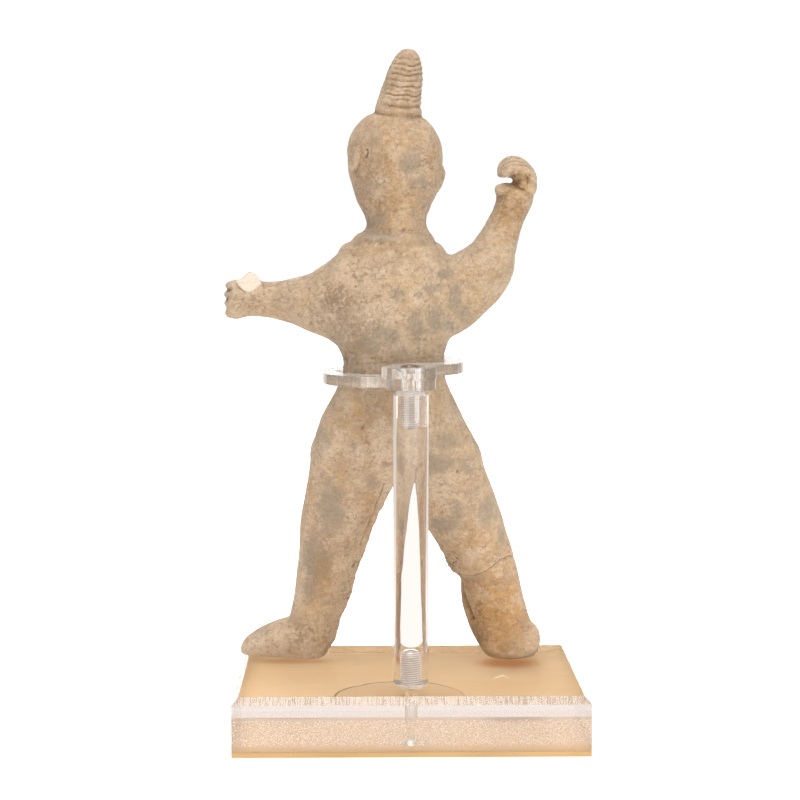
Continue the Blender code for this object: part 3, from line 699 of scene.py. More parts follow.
# Places of the warm grey bloom, seen from behind: x, z, half width, half height, strength.
GREY_BLOOM = [
    (16.4, 287.5, 10, 3.5, 0.9), (-7, 283, 8, 3, 0.5), (13.5, 273.5, 6, 6, 0.5),
    (-19.6, 266.5, 5, 4, 0.8), (-13.8, 257.7, 7, 3.2, 0.8), (-5.5, 254, 3, 5, 0.7),
    (6.9, 254.4, 7, 5, 0.8), (-26.6, 252, 5, 9, 0.9), (-30, 244, 5, 7, 0.85),
    (-14.6, 239.5, 7, 8, 0.9), (-22.9, 236, 8, 5, 0.75), (-4.6, 236, 6, 8, 0.85),
    (14.3, 231, 10, 8, 0.85), (23.4, 226, 8, 7, 0.75), (5, 219.5, 16, 5, 0.6),
    (30, 214.5, 8, 6, 0.6), (32, 244, 13, 9, 0.5), (67, 245.5, 9, 4, 0.5), (90, 251.5, 6, 5, 0.5),
    (-0.6, 330.5, 8, 9, 0.95), (-8, 337, 5, 6, 0.7), (-5.4, 318, 8, 5, 0.85),
    (20.6, 343.5, 7, 8, 0.6), (23, 332, 4, 8, 0.5), (18.7, 295.8, 7, 5, 0.9),
    (-1.6, 378, 7, 3, 0.55), (-2.5, 369.6, 7, 3, 0.5), (9, 365, 4, 3, 0.5),
    (50, 168, 7, 12, 0.65), (35.5, 165, 10, 9, 0.5), (45.6, 127, 9, 19, 1),
    (54, 96, 10, 17, 0.9), (58.6, 77, 8, 10, 0.55), (31, 108, 4, 10, 0.5),
    (38, 78, 4, 10, 0.6), (21, 143, 8, 5, 0.65), (14, 156, 6, 6, 0.5), (22.5, 195, 12, 8, 0.5),
    (-20.9, 169.5, 10, 7, 0.75), (-16.5, 156, 10, 7, 0.95), (-32.5, 154.5, 9, 8, 0.65),
    (-47, 125.5, 7, 11, 0.9), (-28.2, 128, 5, 6, 0.75), (-20.9, 118, 9, 6, 0.85),
    (-54.2, 110, 5, 7, 0.75), (-39.5, 140, 7, 6, 0.55), (-28, 185.5, 9, 10, 0.5),
    (-55.7, 72.5, 4, 4, 0.45), (63, 45, 14, 6, 0.45), (90, 46, 8, 6, 0.5)]

# Places of warmer, darker clay, given in the same way.
TAN_CLAY = [
    (7, 332, 32, 42, 0.55), (2, 378, 16, 26, 0.5), (8, 298, 18, 9, 0.5), (-60, 302, 10, 13, 0.95),
    (-46, 273, 14, 14, 0.35), (22, 128, 6, 22, 0.65), (40, 150, 8, 14, 0.55), (30, 185, 10, 14, 0.6),
    (5, 195, 14, 14, 0.45), (58, 130, 4, 16, 0.6), (52, 90, 9, 20, 0.8), (-38, 165, 6, 10, 0.4),
    (-64, 317, 9, 9, 1), (-52, 60, 26, 34, 0.85), (-40, 110, 10, 10, 0.5), (0, 246, 9, 5, 0.35),
    (30, 222, 4, 10, 0.4), (80, 240, 14, 5, 0.4), (60, 252, 7, 6, 0.35), (-48, 250, 10, 8, 0.35)]

# Places crowded with brown specks or rubbed brown, given in the same way.
BROWN_SPECKS = [
    (42, 248, 13, 9, 1), (52, 240, 8, 5, 0.6), (26, 238, 12, 8, 0.5), (12, 243, 8, 6, 0.5),
    (-61, 302, 9, 9, 0.9), (-62, 321, 8, 4, 1), (-45, 270, 10, 10, 0.3), (16, 286, 10, 3, 0.8),
    (12, 324, 12, 10, 0.5), (-10, 330, 8, 9, 0.6), (20, 303, 10, 8, 0.5), (2, 378, 10, 14, 0.5),
    (60, 44, 12, 7, 0.5), (84, 42, 9, 5, 0.4), (24, 120, 5, 18, 0.6), (34, 88, 5, 14, 0.6),
    (9, 218, 22, 4, 0.5), (-20, 120, 6, 14, 0.6), (-40, 62, 5, 14, 0.6), (98, 247, 6, 5, 0.5),
    (-8, 255, 6, 4, 0.5), (-33, 244, 5, 8, 0.5)]

# Places darkened a soft smoky brown, given in the same way.
SMOKED = [
    (20, 324, 9, 16, 0.8), (19, 297, 9, 8, 0.8), (2, 316, 12, 8, 0.4), (-12, 300, 6, 10, 0.4),
    (28, 232, 17, 13, 0.9), (16, 229, 15, 9, 1), (38, 250, 15, 10, 0.8), (10, 216, 28, 6, 0.8),
    (12, 246, 14, 8, 0.4), (-6, 240, 10, 8, 0.5), (-64, 318, 4, 4, 0.9), (-60, 302, 8, 9, 0.5),
    (3, 360, 16, 6, 0.5),
    (24, 184, 14, 10, 0.3), (48, 130, 9, 20, 0.5), (55, 92, 7, 16, 0.5), (74, 39, 12, 4, 0.3),
    (-24, 160, 12, 14, 0.5), (-38, 124, 10, 12, 0.4), (-44, 62, 6, 14, 0.4), (60, 240, 12, 5, 0.4),
    (-36, 238, 6, 8, 0.6), (98, 249, 12, 12, 0.5), (2, 378, 18, 24, 0.85), (-60, 303, 14, 14, 0.8),
    (-46, 270, 18, 18, 0.25), (-64, 328, 12, 6, 0.2)]


def blots(points, places):
    """Soft oval stains; where they overlap the stronger one counts."""
    x, z = points[:, 0], points[:, 2]
    total = np.zeros(len(points))
    for px, pz, half_width, half_height, strength in places:
        away = ((x - px) / half_width) ** 2 + ((z - pz) / half_height) ** 2
        total = np.maximum(total, strength * np.exp(-0.7 * away))
    return total


def neighbour_mean(mesh, values, rounds):
    """Values averaged with their neighbours' over and over."""
    ends = np.empty(len(mesh.edges) * 2, np.int32)
    mesh.edges.foreach_get("vertices", ends)
    first, second = ends.reshape(-1, 2).T
    count = len(values)
    degree = np.bincount(first, minlength=count) + np.bincount(second, minlength=count)
    for _ in range(rounds):
        total = [np.bincount(first, values[second, axis], count)
                 + np.bincount(second, values[first, axis], count) for axis in range(3)]
        values = 0.5 * values + 0.5 * np.stack(total, -1) / np.maximum(degree, 1)[:, None]
    return values


def stain_figure(mesh):
    """Paints where the clay is smoked, grey, tan, specked or freshly broken, and paints shade into its
    hollows and a highlight onto its crests.
    """
    points = points_of(mesh)
    normals = normals_of(mesh)
    behind = ramp(normals[:, 1], -0.35, 0.15)
    uneven = cloud(points, 16, 3, 21)
    for name, places, least, share, spread in (
            ("smoke", SMOKED, 0.3, 0.5, uneven[::-1]), ("bloom", GREY_BLOOM, 0.20, 0.5, uneven),
            ("tan", TAN_CLAY, 0.45, 0.4, uneven[::-1]), ("specks", BROWN_SPECKS, 0.35, 0.4, uneven)):
        paint(mesh, name, blots(points, places) * behind + (least + share * spread) * (1 - behind))
    # Painted shade where a point sits below its neighbours, and a painted highlight where it stands
    # above them.
    close = (points - neighbour_mean(mesh, points, 3)) * normals
    wide = (points - neighbour_mean(mesh, points, 16)) * normals
    relief = close.sum(1) * 3 + wide.sum(1) * 1.3
    paint(mesh, "hollow", np.clip(-relief, 0, 1))
    paint(mesh, "crest", np.clip(relief, 0, 1))
    facing = np.array(STUMP_FACING) / np.linalg.norm(STUMP_FACING)
    away = points - np.array(THUMB_STUMP)
    facet = (np.linalg.norm(away, axis=1) < 9.5) & (np.abs(away @ facing) < 0.6)
    across = np.abs(points[:, 0] - 93.4) / 7.6
    upright = np.abs(points[:, 2] - 260.9) / 6
    diamond = ramp(across ** 1.4 + upright ** 1.4, 1.12, 0.92)
    paint(mesh, "fresh", facet * diamond * ramp(normals @ facing, 0.75, 0.90))


def make_figure():
    body = press("figure_core",
                 trunk_and_legs() + arms() + [skull(), neckband()] + feet(), 1.3, 8)
    core = (points_of(body.data), faces_of(body.data))
    bpy.data.objects.remove(body)
    details = [core, topknot()] + head_features() + left_fist() + right_hand()
    figure = press("warrior_figure", details, 0.8, 3)
    mesh = figure.data
    points = points_of(mesh)
    normals = normals_of(mesh)
    flatten(points, THUMB_STUMP, 8.6, THUMB_STUMP, STUMP_FACING)
    amount = work_topknot(points) + work_face(points)
    amount = amount + work_dress(points, normals) + work_breaks(points, normals)
    amount = amount + 0.42 * cloud(points, 24, 2, 1) + 0.20 * cloud(points, 6, 4, 2)
    amount = amount + scatter_pits(points, normals, PIT_SEED)
    points += normals * amount[:, None]
    points[:, 2] = np.maximum(points[:, 2], SOLE_Z)
    set_points(mesh, points)
    thin = figure.modifiers.new("thin", "DECIMATE")
    thin.ratio = FIGURE_TRIANGLES / (2 * len(mesh.polygons))
    thin.use_collapse_triangulate = True
    settle(figure)
    low, high = (np.array(corner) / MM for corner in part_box("figure"))
    set_points(figure.data, np.clip(points_of(figure.data), low + BOX_MARGIN, high - BOX_MARGIN))
    figure.data.shade_smooth()
    stain_figure(figure.data)
    figure.data.materials.append(clay_finish())
    return figure


# ---------------------------------------------------------------- materials

def feed(tree, node, inputs):
    """Sets a node's inputs, each from a number, a colour, a vector or another node's socket."""
    for name, value in inputs.items():
        socket = node.inputs[name]
        if isinstance(value, bpy.types.NodeSocket):
            tree.links.new(value, socket)
        elif socket.type == "RGBA" and len(value) == 3:
            socket.default_value = (*value, 1)
        else:
            socket.default_value = value


def add_node(tree, kind, inputs=None, **settings):
    node = tree.nodes.new(kind)
    for name, value in settings.items():
        setattr(node, name, value)
    feed(tree, node, inputs or {})
    return node


def node_group(name, kind, given, made):
    """An empty group and its two ends; each named input and output comes with its kind."""
    group = bpy.data.node_groups.new(name, kind)
    for way, sockets in (("INPUT", given), ("OUTPUT", made)):
        for socket, sort in sockets.items():
            group.interface.new_socket(socket, in_out=way, socket_type="NodeSocket" + sort)
    return group, group.nodes.new("NodeGroupInput").outputs, group.nodes.new("NodeGroupOutput")


def new_material(name):
    material = bpy.data.materials.new(name)
    material.use_nodes = True
    return material, material.node_tree, material.node_tree.nodes["Principled BSDF"]


def clear_plastic(name, milk=0.0):
    """A material of clear acrylic, of which the milky share lets no light through."""
    material, tree, shader = new_material(name)
    feed(tree, shader, {"Metallic": 0, "Transmission Weight": 1 - milk, "IOR": ACRYLIC_IOR})
    return material, tree, shader


def grain(tree, source, scale, detail=3.0, roughness=0.55, kind="FBM"):
    """A noise on the given coordinates; its scale is lumps to the metre."""
    return add_node(tree, "ShaderNodeTexNoise",
                    {"Vector": source, "Scale": scale, "Detail": detail, "Roughness": roughness},
                    noise_type=kind).outputs["Fac"]


def curve(tree, value, low, high, to_low=0.0, to_high=1.0):
    """Eases from one value to another while the input goes from low to high."""
    return add_node(tree, "ShaderNodeMapRange",
                    {"Value": value, "From Min": low, "From Max": high,
                     "To Min": to_low, "To Max": to_high},
                    interpolation_type="SMOOTHSTEP").outputs["Result"]


def maths(tree, operation, *values):
    return add_node(tree, "ShaderNodeMath", dict(enumerate(values)), operation=operation).outputs[0]


def weighed(tree, *parts):
    """The sum of values, each times its weight."""
    total = 0.0
    for value, weight in parts:
        total = maths(tree, "MULTIPLY_ADD", value, weight, total)
    return total


def tint(tree, share, first, second, blend="MIX"):
    """Mixes two colours, each a socket or red, green and blue."""
    return add_node(tree, "ShaderNodeMix", {0: share, 6: first, 7: second},
                    data_type="RGBA", blend_type=blend).outputs[2]


def painted(tree, name):
    return add_node(tree, "ShaderNodeAttribute", attribute_name=name).outputs["Fac"]


def object_place(tree):
    return add_node(tree, "ShaderNodeTexCoord").outputs["Object"]


def axes(tree, place):
    return add_node(tree, "ShaderNodeSeparateXYZ", {"Vector": place}).outputs


def stretched(tree, source, scale):
    return add_node(tree, "ShaderNodeMapping", {"Vector": source, "Scale": scale}).outputs["Vector"]


def distance(tree, first, second):
    return add_node(tree, "ShaderNodeVectorMath", {0: first, 1: second},
                    operation="DISTANCE").outputs["Value"]


def warped(tree, source, scale, amount):
    """Coordinates pushed about by a noise, so that a pattern on them wanders."""
    push = add_node(tree, "ShaderNodeTexNoise", {"Vector": source, "Scale": scale, "Detail": 3.0})
    return add_node(tree, "ShaderNodeVectorMath",
                    {0: push.outputs["Color"], 1: (amount, amount, amount), 2: source},
                    operation="MULTIPLY_ADD").outputs["Vector"]


def raised(tree, shader, height, reach):
    """Lets a varying height tilt a shader's surface; its reach is in metres."""
    bump = add_node(tree, "ShaderNodeBump", {"Strength": 1, "Distance": reach, "Height": height})
    tree.links.new(bump.outputs["Normal"], shader.inputs["Normal"])


def mix_shaders(tree, share, first, second):
    both = add_node(tree, "ShaderNodeMixShader",
                    {0: share, 1: first.outputs[0], 2: second.outputs[0]})
    tree.links.new(both.outputs[0], tree.nodes["Material Output"].inputs["Surface"])


def clay_finish():
    """Matt, flaky clay: warm, smoked and grey stains, brown specks and cracks, with painted shade in
    its hollows and above the legs and a painted highlight on its crests.
    """
    material, tree, shader = new_material("terracotta_clay")
    place = object_place(tree)

    def stroked(stretch, *noise_settings):
        return grain(tree, stretched(tree, place, stretch), *noise_settings)

    broad = grain(tree, place, 30.0, 5.0, 0.62)
    wash = grain(tree, place, 75.0, 4.0, 0.60)
    middle = grain(tree, place, 100.0, 8.0, 0.70)
    fine = grain(tree, place, 430.0, 5.0, 0.72)
    speck = grain(tree, place, 900.0, 3.0, 0.65)
    patches = stroked((1, 1, 1.3), 170.0, 8.0, 0.70)
    scuffs = stroked((1, 1, 0.55), 240.0, 4.0, 0.6, "RIDGED_MULTIFRACTAL")
    strokes = stroked((0.55, 0.55, 1.6), 300.0, 6.0, 0.75)
    flakes = stroked((1, 1, 0.6), 300.0, 6.0, 0.75)
    tan = painted(tree, "tan")
    warm = weighed(tree, (middle, 1.2), (tan, 1))
    brown = weighed(tree, (middle, 0.40), (fine, 0.60), (painted(tree, "specks"), 0.11))
    bloom = weighed(tree, (middle, 1.3), (flakes, 1.3), (painted(tree, "bloom"), 1))
    smoke = maths(tree, "MULTIPLY", painted(tree, "smoke"), curve(tree, fine, 0.30, 0.70, 0.35, 1))
    grey = tint(tree, curve(tree, fine, 0.38, 0.62), CLAY_GREY, CLAY_GREY_PALE)
    cells = add_node(tree, "ShaderNodeTexVoronoi",
                     {"Vector": warped(tree, place, 140.0, 0.004), "Scale": 260.0},
                     feature="DISTANCE_TO_EDGE").outputs["Distance"]
    cracks = maths(tree, "MULTIPLY", curve(tree, cells, 0, 0.07, 1, 0),
                   curve(tree, patches, 0.47, 0.60, 0, 0.80))

    colour = tint(tree, curve(tree, broad, 0.36, 0.66), CLAY_BUFF, CLAY_OCHRE)
    # Each layer's value, where it starts and where it is full, how strong it gets, and its colour.
    for value, start, full, strength, layer in (
            (warm, 0.60, 1.40, 1, CLAY_TAN),
            (patches, 0.48, 0.62, 0.42, CLAY_PALE),
            (brown, 0.53, 0.64, 0.70, CLAY_BROWN),
            (smoke, None, None, 0.72, CLAY_SMOKE),
            (strokes, 0.50, 0.68, 0.55, CLAY_SHADE),
            (strokes, 0.50, 0.34, 0.55, CLAY_PALE),
            (wash, 0.50, 0.66, 0.50, CLAY_SHADE),
            (wash, 0.48, 0.34, 0.50, CLAY_PALE),
            (bloom, 1.62, 2.12, 0.88, grey),
            (scuffs, 0.75, 1.25, 0.22, CLAY_DARK),
            (speck, 0.56, 0.66, 0.38, CLAY_DARK),
            (cracks, None, None, 1, CLAY_BROWN),
            (fine, 0.50, 0.68, 0.45, CLAY_SHADE),
            (fine, 0.48, 0.32, 0.45, CLAY_PALE),
            # Painted shade in the hollows, then a painted highlight on the crests.
            (painted(tree, "hollow"), 0.10, 0.8, 0.85, CLAY_HOLLOW_SHADE),
            (painted(tree, "crest"), 0.15, 0.9, 0.35, CLAY_PALE),
            (painted(tree, "fresh"), None, None, 1, CLAY_FRESH)):
        if start is None:
            share = maths(tree, "MULTIPLY", value, strength)
        else:
            share = curve(tree, value, start, full, 0, strength)
        colour = tint(tree, share, colour, layer)
    colour = tint(tree, curve(tree, tan, 0.50, 0.85), colour, WARM_TONE, "MULTIPLY")
    # Painted shade: the clay above the legs is darkened.
    upper = curve(tree, axes(tree, place)["Z"], 0.12, 0.23)
    colour = tint(tree, upper, colour, UPPER_PAINTED_SHADE, "MULTIPLY")
    feed(tree, shader, {"Base Color": colour, "Roughness": curve(tree, fine, 0.3, 0.7, 0.82, 0.96),
                        "Specular IOR Level": 0.2, "Sheen Weight": 0.18, "Sheen Roughness": 0.5})
    height = weighed(tree, (fine, 0.8), (speck, 0.3), (patches, 0.6), (cracks, -0.25))
    raised(tree, shader, height, 1.8 * MM)
    return material


def handled_plastic_group():
    """Faint scratches and dust on clear plastic, as a roughness that varies."""
    group, given, made = node_group("handled_plastic", "ShaderNodeTree",
                                    {"Polish": "Float", "Haze": "Float"}, {"Roughness": "Float"})
    wear = curve(group, grain(group, object_place(group), 300.0, 4.0, 0.6), 0.52, 0.72)
    feed(group, made, {"Roughness": maths(group, "MULTIPLY_ADD", wear, given["Haze"],
                                          given["Polish"])})
    return group


def saw_marks_group():
    """Marks of the saw between two heights; the deep tone in the grooves and at the foot is painted
    light, the orange of the board below.
    """
    group, given, made = node_group(
        "saw_marks", "ShaderNodeTree",
        {"Coarseness": "Float", "Stretch": "Vector", "Low": "Float", "High": "Float",
         "Plain": "Color", "Streaks": "Color", "Deep": "Color", "Board Light Share": "Float"},
        {"Colour": "Color", "Roughness": "Float", "Height": "Float"})
    place = object_place(group)
    low, high = given["Low"], given["High"]
    marks = grain(group, stretched(group, place, given["Stretch"]), given["Coarseness"], 3.0, 0.6)
    rise = axes(group, place)["Z"]
    span = maths(group, "MULTIPLY",
                 curve(group, rise, low, maths(group, "ADD", low, 3.0 * MM)),
                 curve(group, rise, maths(group, "SUBTRACT", high, 0.6 * MM), high, 1, 0))
    height = maths(group, "MULTIPLY", marks, span)
    colour = tint(group, curve(group, height, 0.50, 0.58), given["Plain"], given["Streaks"])
    grooves = maths(group, "MULTIPLY", curve(group, marks, 0.45, 0.38), span)
    # The deep tone, in the grooves and low down, is painted light from the orange board.
    foot = curve(group, rise, low, maths(group, "ADD", low, 5.0 * MM), 0.8, 0)
    for share in (grooves, foot):
        share = maths(group, "MULTIPLY", share, given["Board Light Share"])
        colour = tint(group, share, colour, given["Deep"])
    feed(group, made, {"Colour": colour, "Roughness": curve(group, height, 0.40, 0.70, 0.03, 0.32),
                       "Height": height})
    return group


def tool_marks_group():
    """Faint marks of turning and drilling: they change how rough and how pale plastic is."""
    sockets = {"Colour": "Color", "Roughness": "Float"}
    group, given, made = node_group("tool_marks", "ShaderNodeTree", sockets, sockets)
    marks = grain(group, stretched(group, object_place(group), (1, 1, 6)), 400.0)
    smooth, rough = (maths(group, "MULTIPLY", given["Roughness"], share) for share in (0.7, 1.3))
    pale = curve(group, marks, 0.3, 0.7, 0, 0.25)
    feed(group, made, {"Colour": tint(group, pale, given["Colour"], (1, 1, 1)),
                       "Roughness": curve(group, marks, 0.3, 0.7, smooth, rough)})
    return group


def board_grain_and_shadow_group():
    """The board's faint grain and soft patches, and the shade that lies under the feet."""
    group, given, made = node_group("board_grain_and_shadow", "ShaderNodeTree",
                                    {"Light": "Color", "Dark": "Color", "Deep": "Color"},
                                    {"Colour": "Color"})
    place = object_place(group)
    streaks = grain(group, stretched(group, place, (14, 220, 220)), 1.0, 4.0, 0.6)
    patches = curve(group, grain(group, place, 16.0), 0.35, 0.68)
    colour = tint(group, patches, given["Light"], given["Dark"])
    colour = tint(group, curve(group, streaks, 0.42, 0.66, 0, 0.30), colour, given["Deep"])
    # The feet's shadow, painted into the board's colour.
    for x, y, half_width, half_depth, strength in FOOT_SHADE:
        flat = stretched(group, place, (1 / half_width, 1 / half_depth, 0))
        away = distance(group, flat, (x * MM / half_width, y * MM / half_depth, 0))
        share = curve(group, away, 0.3 * MM, 1.2 * MM, strength, 0)
        colour = tint(group, share, colour, BOARD_SHADE)
    feed(group, made, {"Colour": colour})
    return group


def clear_finish(name, group, polish, haze, colour):
    """Polished clear acrylic, hazed here and there by handling."""
    material, tree, shader = clear_plastic(name)
    wear = add_node(tree, "ShaderNodeGroup", {"Polish": polish, "Haze": haze}, node_tree=group)
    feed(tree, shader, {"Base Color": colour, "Roughness": wear.outputs["Roughness"]})
    return material


def thread_finish(name, milk, crest, root):
    """Clear acrylic with a cut thread, with a painted highlight on its crests and painted brown shade
    in its roots.
    """
    material, tree, shader = clear_plastic(name, milk)
    x, y, z = axes(tree, object_place(tree))
    turn = maths(tree, "ARCTAN2", maths(tree, "SUBTRACT", y, POST_Y * MM), x)
    turn = maths(tree, "DIVIDE", turn, 2 * math.pi)
    rise = maths(tree, "DIVIDE", z, THREAD_PITCH * MM)
    phase = maths(tree, "FRACT", maths(tree, "SUBTRACT", rise, turn))
    wave = maths(tree, "ABSOLUTE", maths(tree, "SUBTRACT", phase, 0.5))
    feed(tree, shader, {"Base Color": tint(tree, curve(tree, wave, 0.10, 0.34), root, crest),
                        "Roughness": 0.15})
    return material


def satin_finish(name, group, milk, roughness, colour):
    """Clear acrylic turned, drilled or rubbed, and left satin."""
    material, tree, shader = clear_plastic(name, milk)
    marks = add_node(tree, "ShaderNodeGroup", {"Colour": colour, "Roughness": roughness},
                     node_tree=group).outputs
    feed(tree, shader, {"Base Color": marks["Colour"], "Roughness": marks["Roughness"]})
    return material


def sawn_finish(name, group, milk, relief, marks):
    """Clear acrylic left rough from the saw; its relief is in millimetres."""
    material, tree, shader = clear_plastic(name, milk)
    saw = add_node(tree, "ShaderNodeGroup", marks, node_tree=group).outputs
    feed(tree, shader, {"Base Color": saw["Colour"], "Roughness": saw["Roughness"]})
    raised(tree, shader, saw["Height"], relief * MM)
    return material


def block_top_finish():
    """The block's rubbed top, with the dulled patch round the post and its brown edge."""
    material, tree, shader = clear_plastic("block_top_acrylic")
    place = object_place(tree)
    away = distance(tree, stretched(tree, place, (1.12, 1, 1)), PATCH_MIDDLE)
    reach = weighed(tree, (away, 1), (grain(tree, place, 30.0, 2.0), 0.010))
    patch = curve(tree, reach, (PATCH_REACH - 0.8) * MM, PATCH_REACH * MM, 1, 0)
    rim = maths(tree, "MULTIPLY", patch,
                curve(tree, reach, (PATCH_REACH - 2) * MM, (PATCH_REACH - 1) * MM))
    rim = maths(tree, "MULTIPLY", rim,
                curve(tree, axes(tree, place)["X"], -0.030, -0.010, 0.15, 0.8))
    colour = tint(tree, maths(tree, "MULTIPLY", patch, 0.5), POLISHED, PATCH_COLOUR)
    colour = tint(tree, rim, colour, PATCH_RIM)
    streaks = grain(tree, stretched(tree, place, (20, 300, 1)), 1.0)
    feed(tree, shader, {"Base Color": colour, "Roughness": curve(tree, streaks, 0.3, 0.7, 0.02, 0.06)})
    thin = add_node(tree, "ShaderNodeBsdfRefraction",
                    {"Color": colour, "IOR": ACRYLIC_IOR, "Roughness": 0.02})
    within = add_node(tree, "ShaderNodeNewGeometry").outputs["Backfacing"]
    mix_shaders(tree, maths(tree, "MULTIPLY_ADD", within, -0.95, 0.95), shader, thin)
    return material


def board_finish(name, group, light, dark, deep):
    """Peach-coloured board; its far strip, not bonded, gleams when it is seen low."""
    material, tree, shader = new_material(name)
    colour = add_node(tree, "ShaderNodeGroup", {"Light": light, "Dark": dark, "Deep": deep},
                      node_tree=group).outputs["Colour"]
    feed(tree, shader, {"Base Color": colour, "Roughness": 0.6, "Specular IOR Level": 0.3})
    low_view = curve(tree, add_node(tree, "ShaderNodeLayerWeight").outputs["Facing"], 0.60, 0.76)
    strip = curve(tree, axes(tree, object_place(tree))["Y"],
                  (LOOSE_STRIP - 0.3) * MM, LOOSE_STRIP * MM, 1, 0)
    gleam = add_node(tree, "ShaderNodeBsdfGlossy", {"Color": (1, 0.99, 0.98), "Roughness": 0})
    mix_shaders(tree, maths(tree, "MULTIPLY", low_view, strip), shader, gleam)
    return material


def glue_finish():
    material, tree, shader = new_material("dried_glue")
    mottle = curve(tree, grain(tree, object_place(tree), 900.0), 0.3, 0.7)
    feed(tree, shader, {"Base Color": tint(tree, mottle, (0.86, 0.70, 0.50), (0.92, 0.82, 0.66)),
                        "Roughness": 0.5})
    return material


def floor_finish():
    """A pale floor, dimmer to the sides, which glows evenly when it is seen itself."""
    material, tree, shader = new_material("pale_floor")
    place = object_place(tree)
    sideways, along = (maths(tree, "ABSOLUTE", side) for side in list(axes(tree, place))[:2])
    dim = curve(tree, weighed(tree, (sideways, 1), (along, -0.5)), 0.20, 0.45)
    path = add_node(tree, "ShaderNodeLightPath").outputs
    through = path["Is Transmission Ray"]
    pale, paler, dimmed = FLOOR_COLOURS
    colour = tint(tree, curve(tree, grain(tree, place, 3.0), 0.3, 0.7), pale, paler)
    colour = tint(tree, through, tint(tree, dim, colour, dimmed), (0, 0, 0))
    glow = tint(tree, through, tint(tree, dim, *FLOOR_GLOW), tint(tree, dim, *FLOOR_GLOW_THROUGH))
    glow = tint(tree, path["Is Camera Ray"], glow, FLOOR_GLOW_SEEN)
    feed(tree, shader, {"Base Color": colour, "Roughness": 0.9, "Specular IOR Level": 0.1,
                        "Emission Color": glow, "Emission Strength": 0.50})
    return material


# ---------------------------------------------------------------- stand

def box_shell(low, high):
    x, y, z = zip(low, high)
    corners = [(x[i], y[j], z[k]) for k in (0, 1) for j in (0, 1) for i in (0, 1)]
    faces = [(0, 2, 3, 1), (4, 5, 7, 6), (0, 1, 5, 4), (2, 6, 7, 3), (0, 4, 6, 2), (1, 3, 7, 5)]
    return np.array(corners), [list(face) for face in faces]


def round_bar(name, profile, x=0.0, y=0.0, segments=96):
    """A solid of revolution from (radius, height) points that run up its outside."""
    angle = np.linspace(0.0, 2 * np.pi, segments, endpoint=False)
    rings = np.array([[(x + radius * math.cos(a), y + radius * math.sin(a), height) for a in angle]
                      for radius, height in profile])
    return new_object(name, mesh_of(name, [skin(rings)]))


def plate_solid(name, outline, bottom, top):
    """A flat outline of (x, y) points with a thickness."""
    rings = np.array([[(x, y, height) for x, y in outline] for height in (bottom, top)])
    return new_object(name, mesh_of(name, [skin(rings)]))


def hook_outline(side, reach, inner, start_angle, steps=90):
    """The arm's outline: its outer edge from back to front, a round tip and the inner edge."""
    angle = np.radians(np.linspace(start_angle, HOOK_TIP_ANGLE, steps))
    across, along = np.cos(angle), np.sin(angle)
    power = 2.0 / HOOK_SQUARENESS
    depth = np.where(along > 0, HOOK_BACK, HOOK_FRONT)
    outer = np.stack([np.sign(across) * np.abs(across) ** power * reach,
                      np.sign(along) * np.abs(along) ** power * depth], -1)
    inside = np.stack([across * inner[0], along * inner[1]], -1)
    middle = (outer[-1] + inside[-1]) / 2
    spoke = outer[-1] - middle
    turn = -np.pi * np.arange(1, 16) / 16
    tip = middle + np.stack([spoke[0] * np.cos(turn) - spoke[1] * np.sin(turn),
                             spoke[0] * np.sin(turn) + spoke[1] * np.cos(turn)], -1)
    outline = np.vstack([outer, tip, inside[::-1]])
    return [(WAIST.x + side * x, WAIST.y + y) for x, y in outline]


def drill(thing, start, end, seat=True):
    """A clearance hole from a level face, with a 45 degree seat for a screw's head."""
    way = math.copysign(1.0, end - start)
    profile = [(CLEAR_RADIUS, start - way), (CLEAR_RADIUS, end + way)]
    if seat:
        profile = [(SEAT_RADIUS + 1.0, start - way),
                   (CLEAR_RADIUS, start + way * (SEAT_RADIUS - CLEAR_RADIUS)), profile[1]]
    cut(thing, round_bar("drill", sorted(profile, key=lambda row: row[1]), y=POST_Y))


def make_hook(name, outline, bottom, boss_radius, boss_x, seated):
    hook = plate_solid(name, outline, bottom, bottom + PLATE_THICK)
    boss = round_bar("boss", [(boss_radius, bottom), (boss_radius, bottom + PLATE_THICK)],
                     x=boss_x, y=POST_Y)
    cut(hook, boss, "UNION")
    drill(hook, bottom + PLATE_THICK, bottom, seated)
    round_edges(hook, PLATE_EDGE)
    return hook


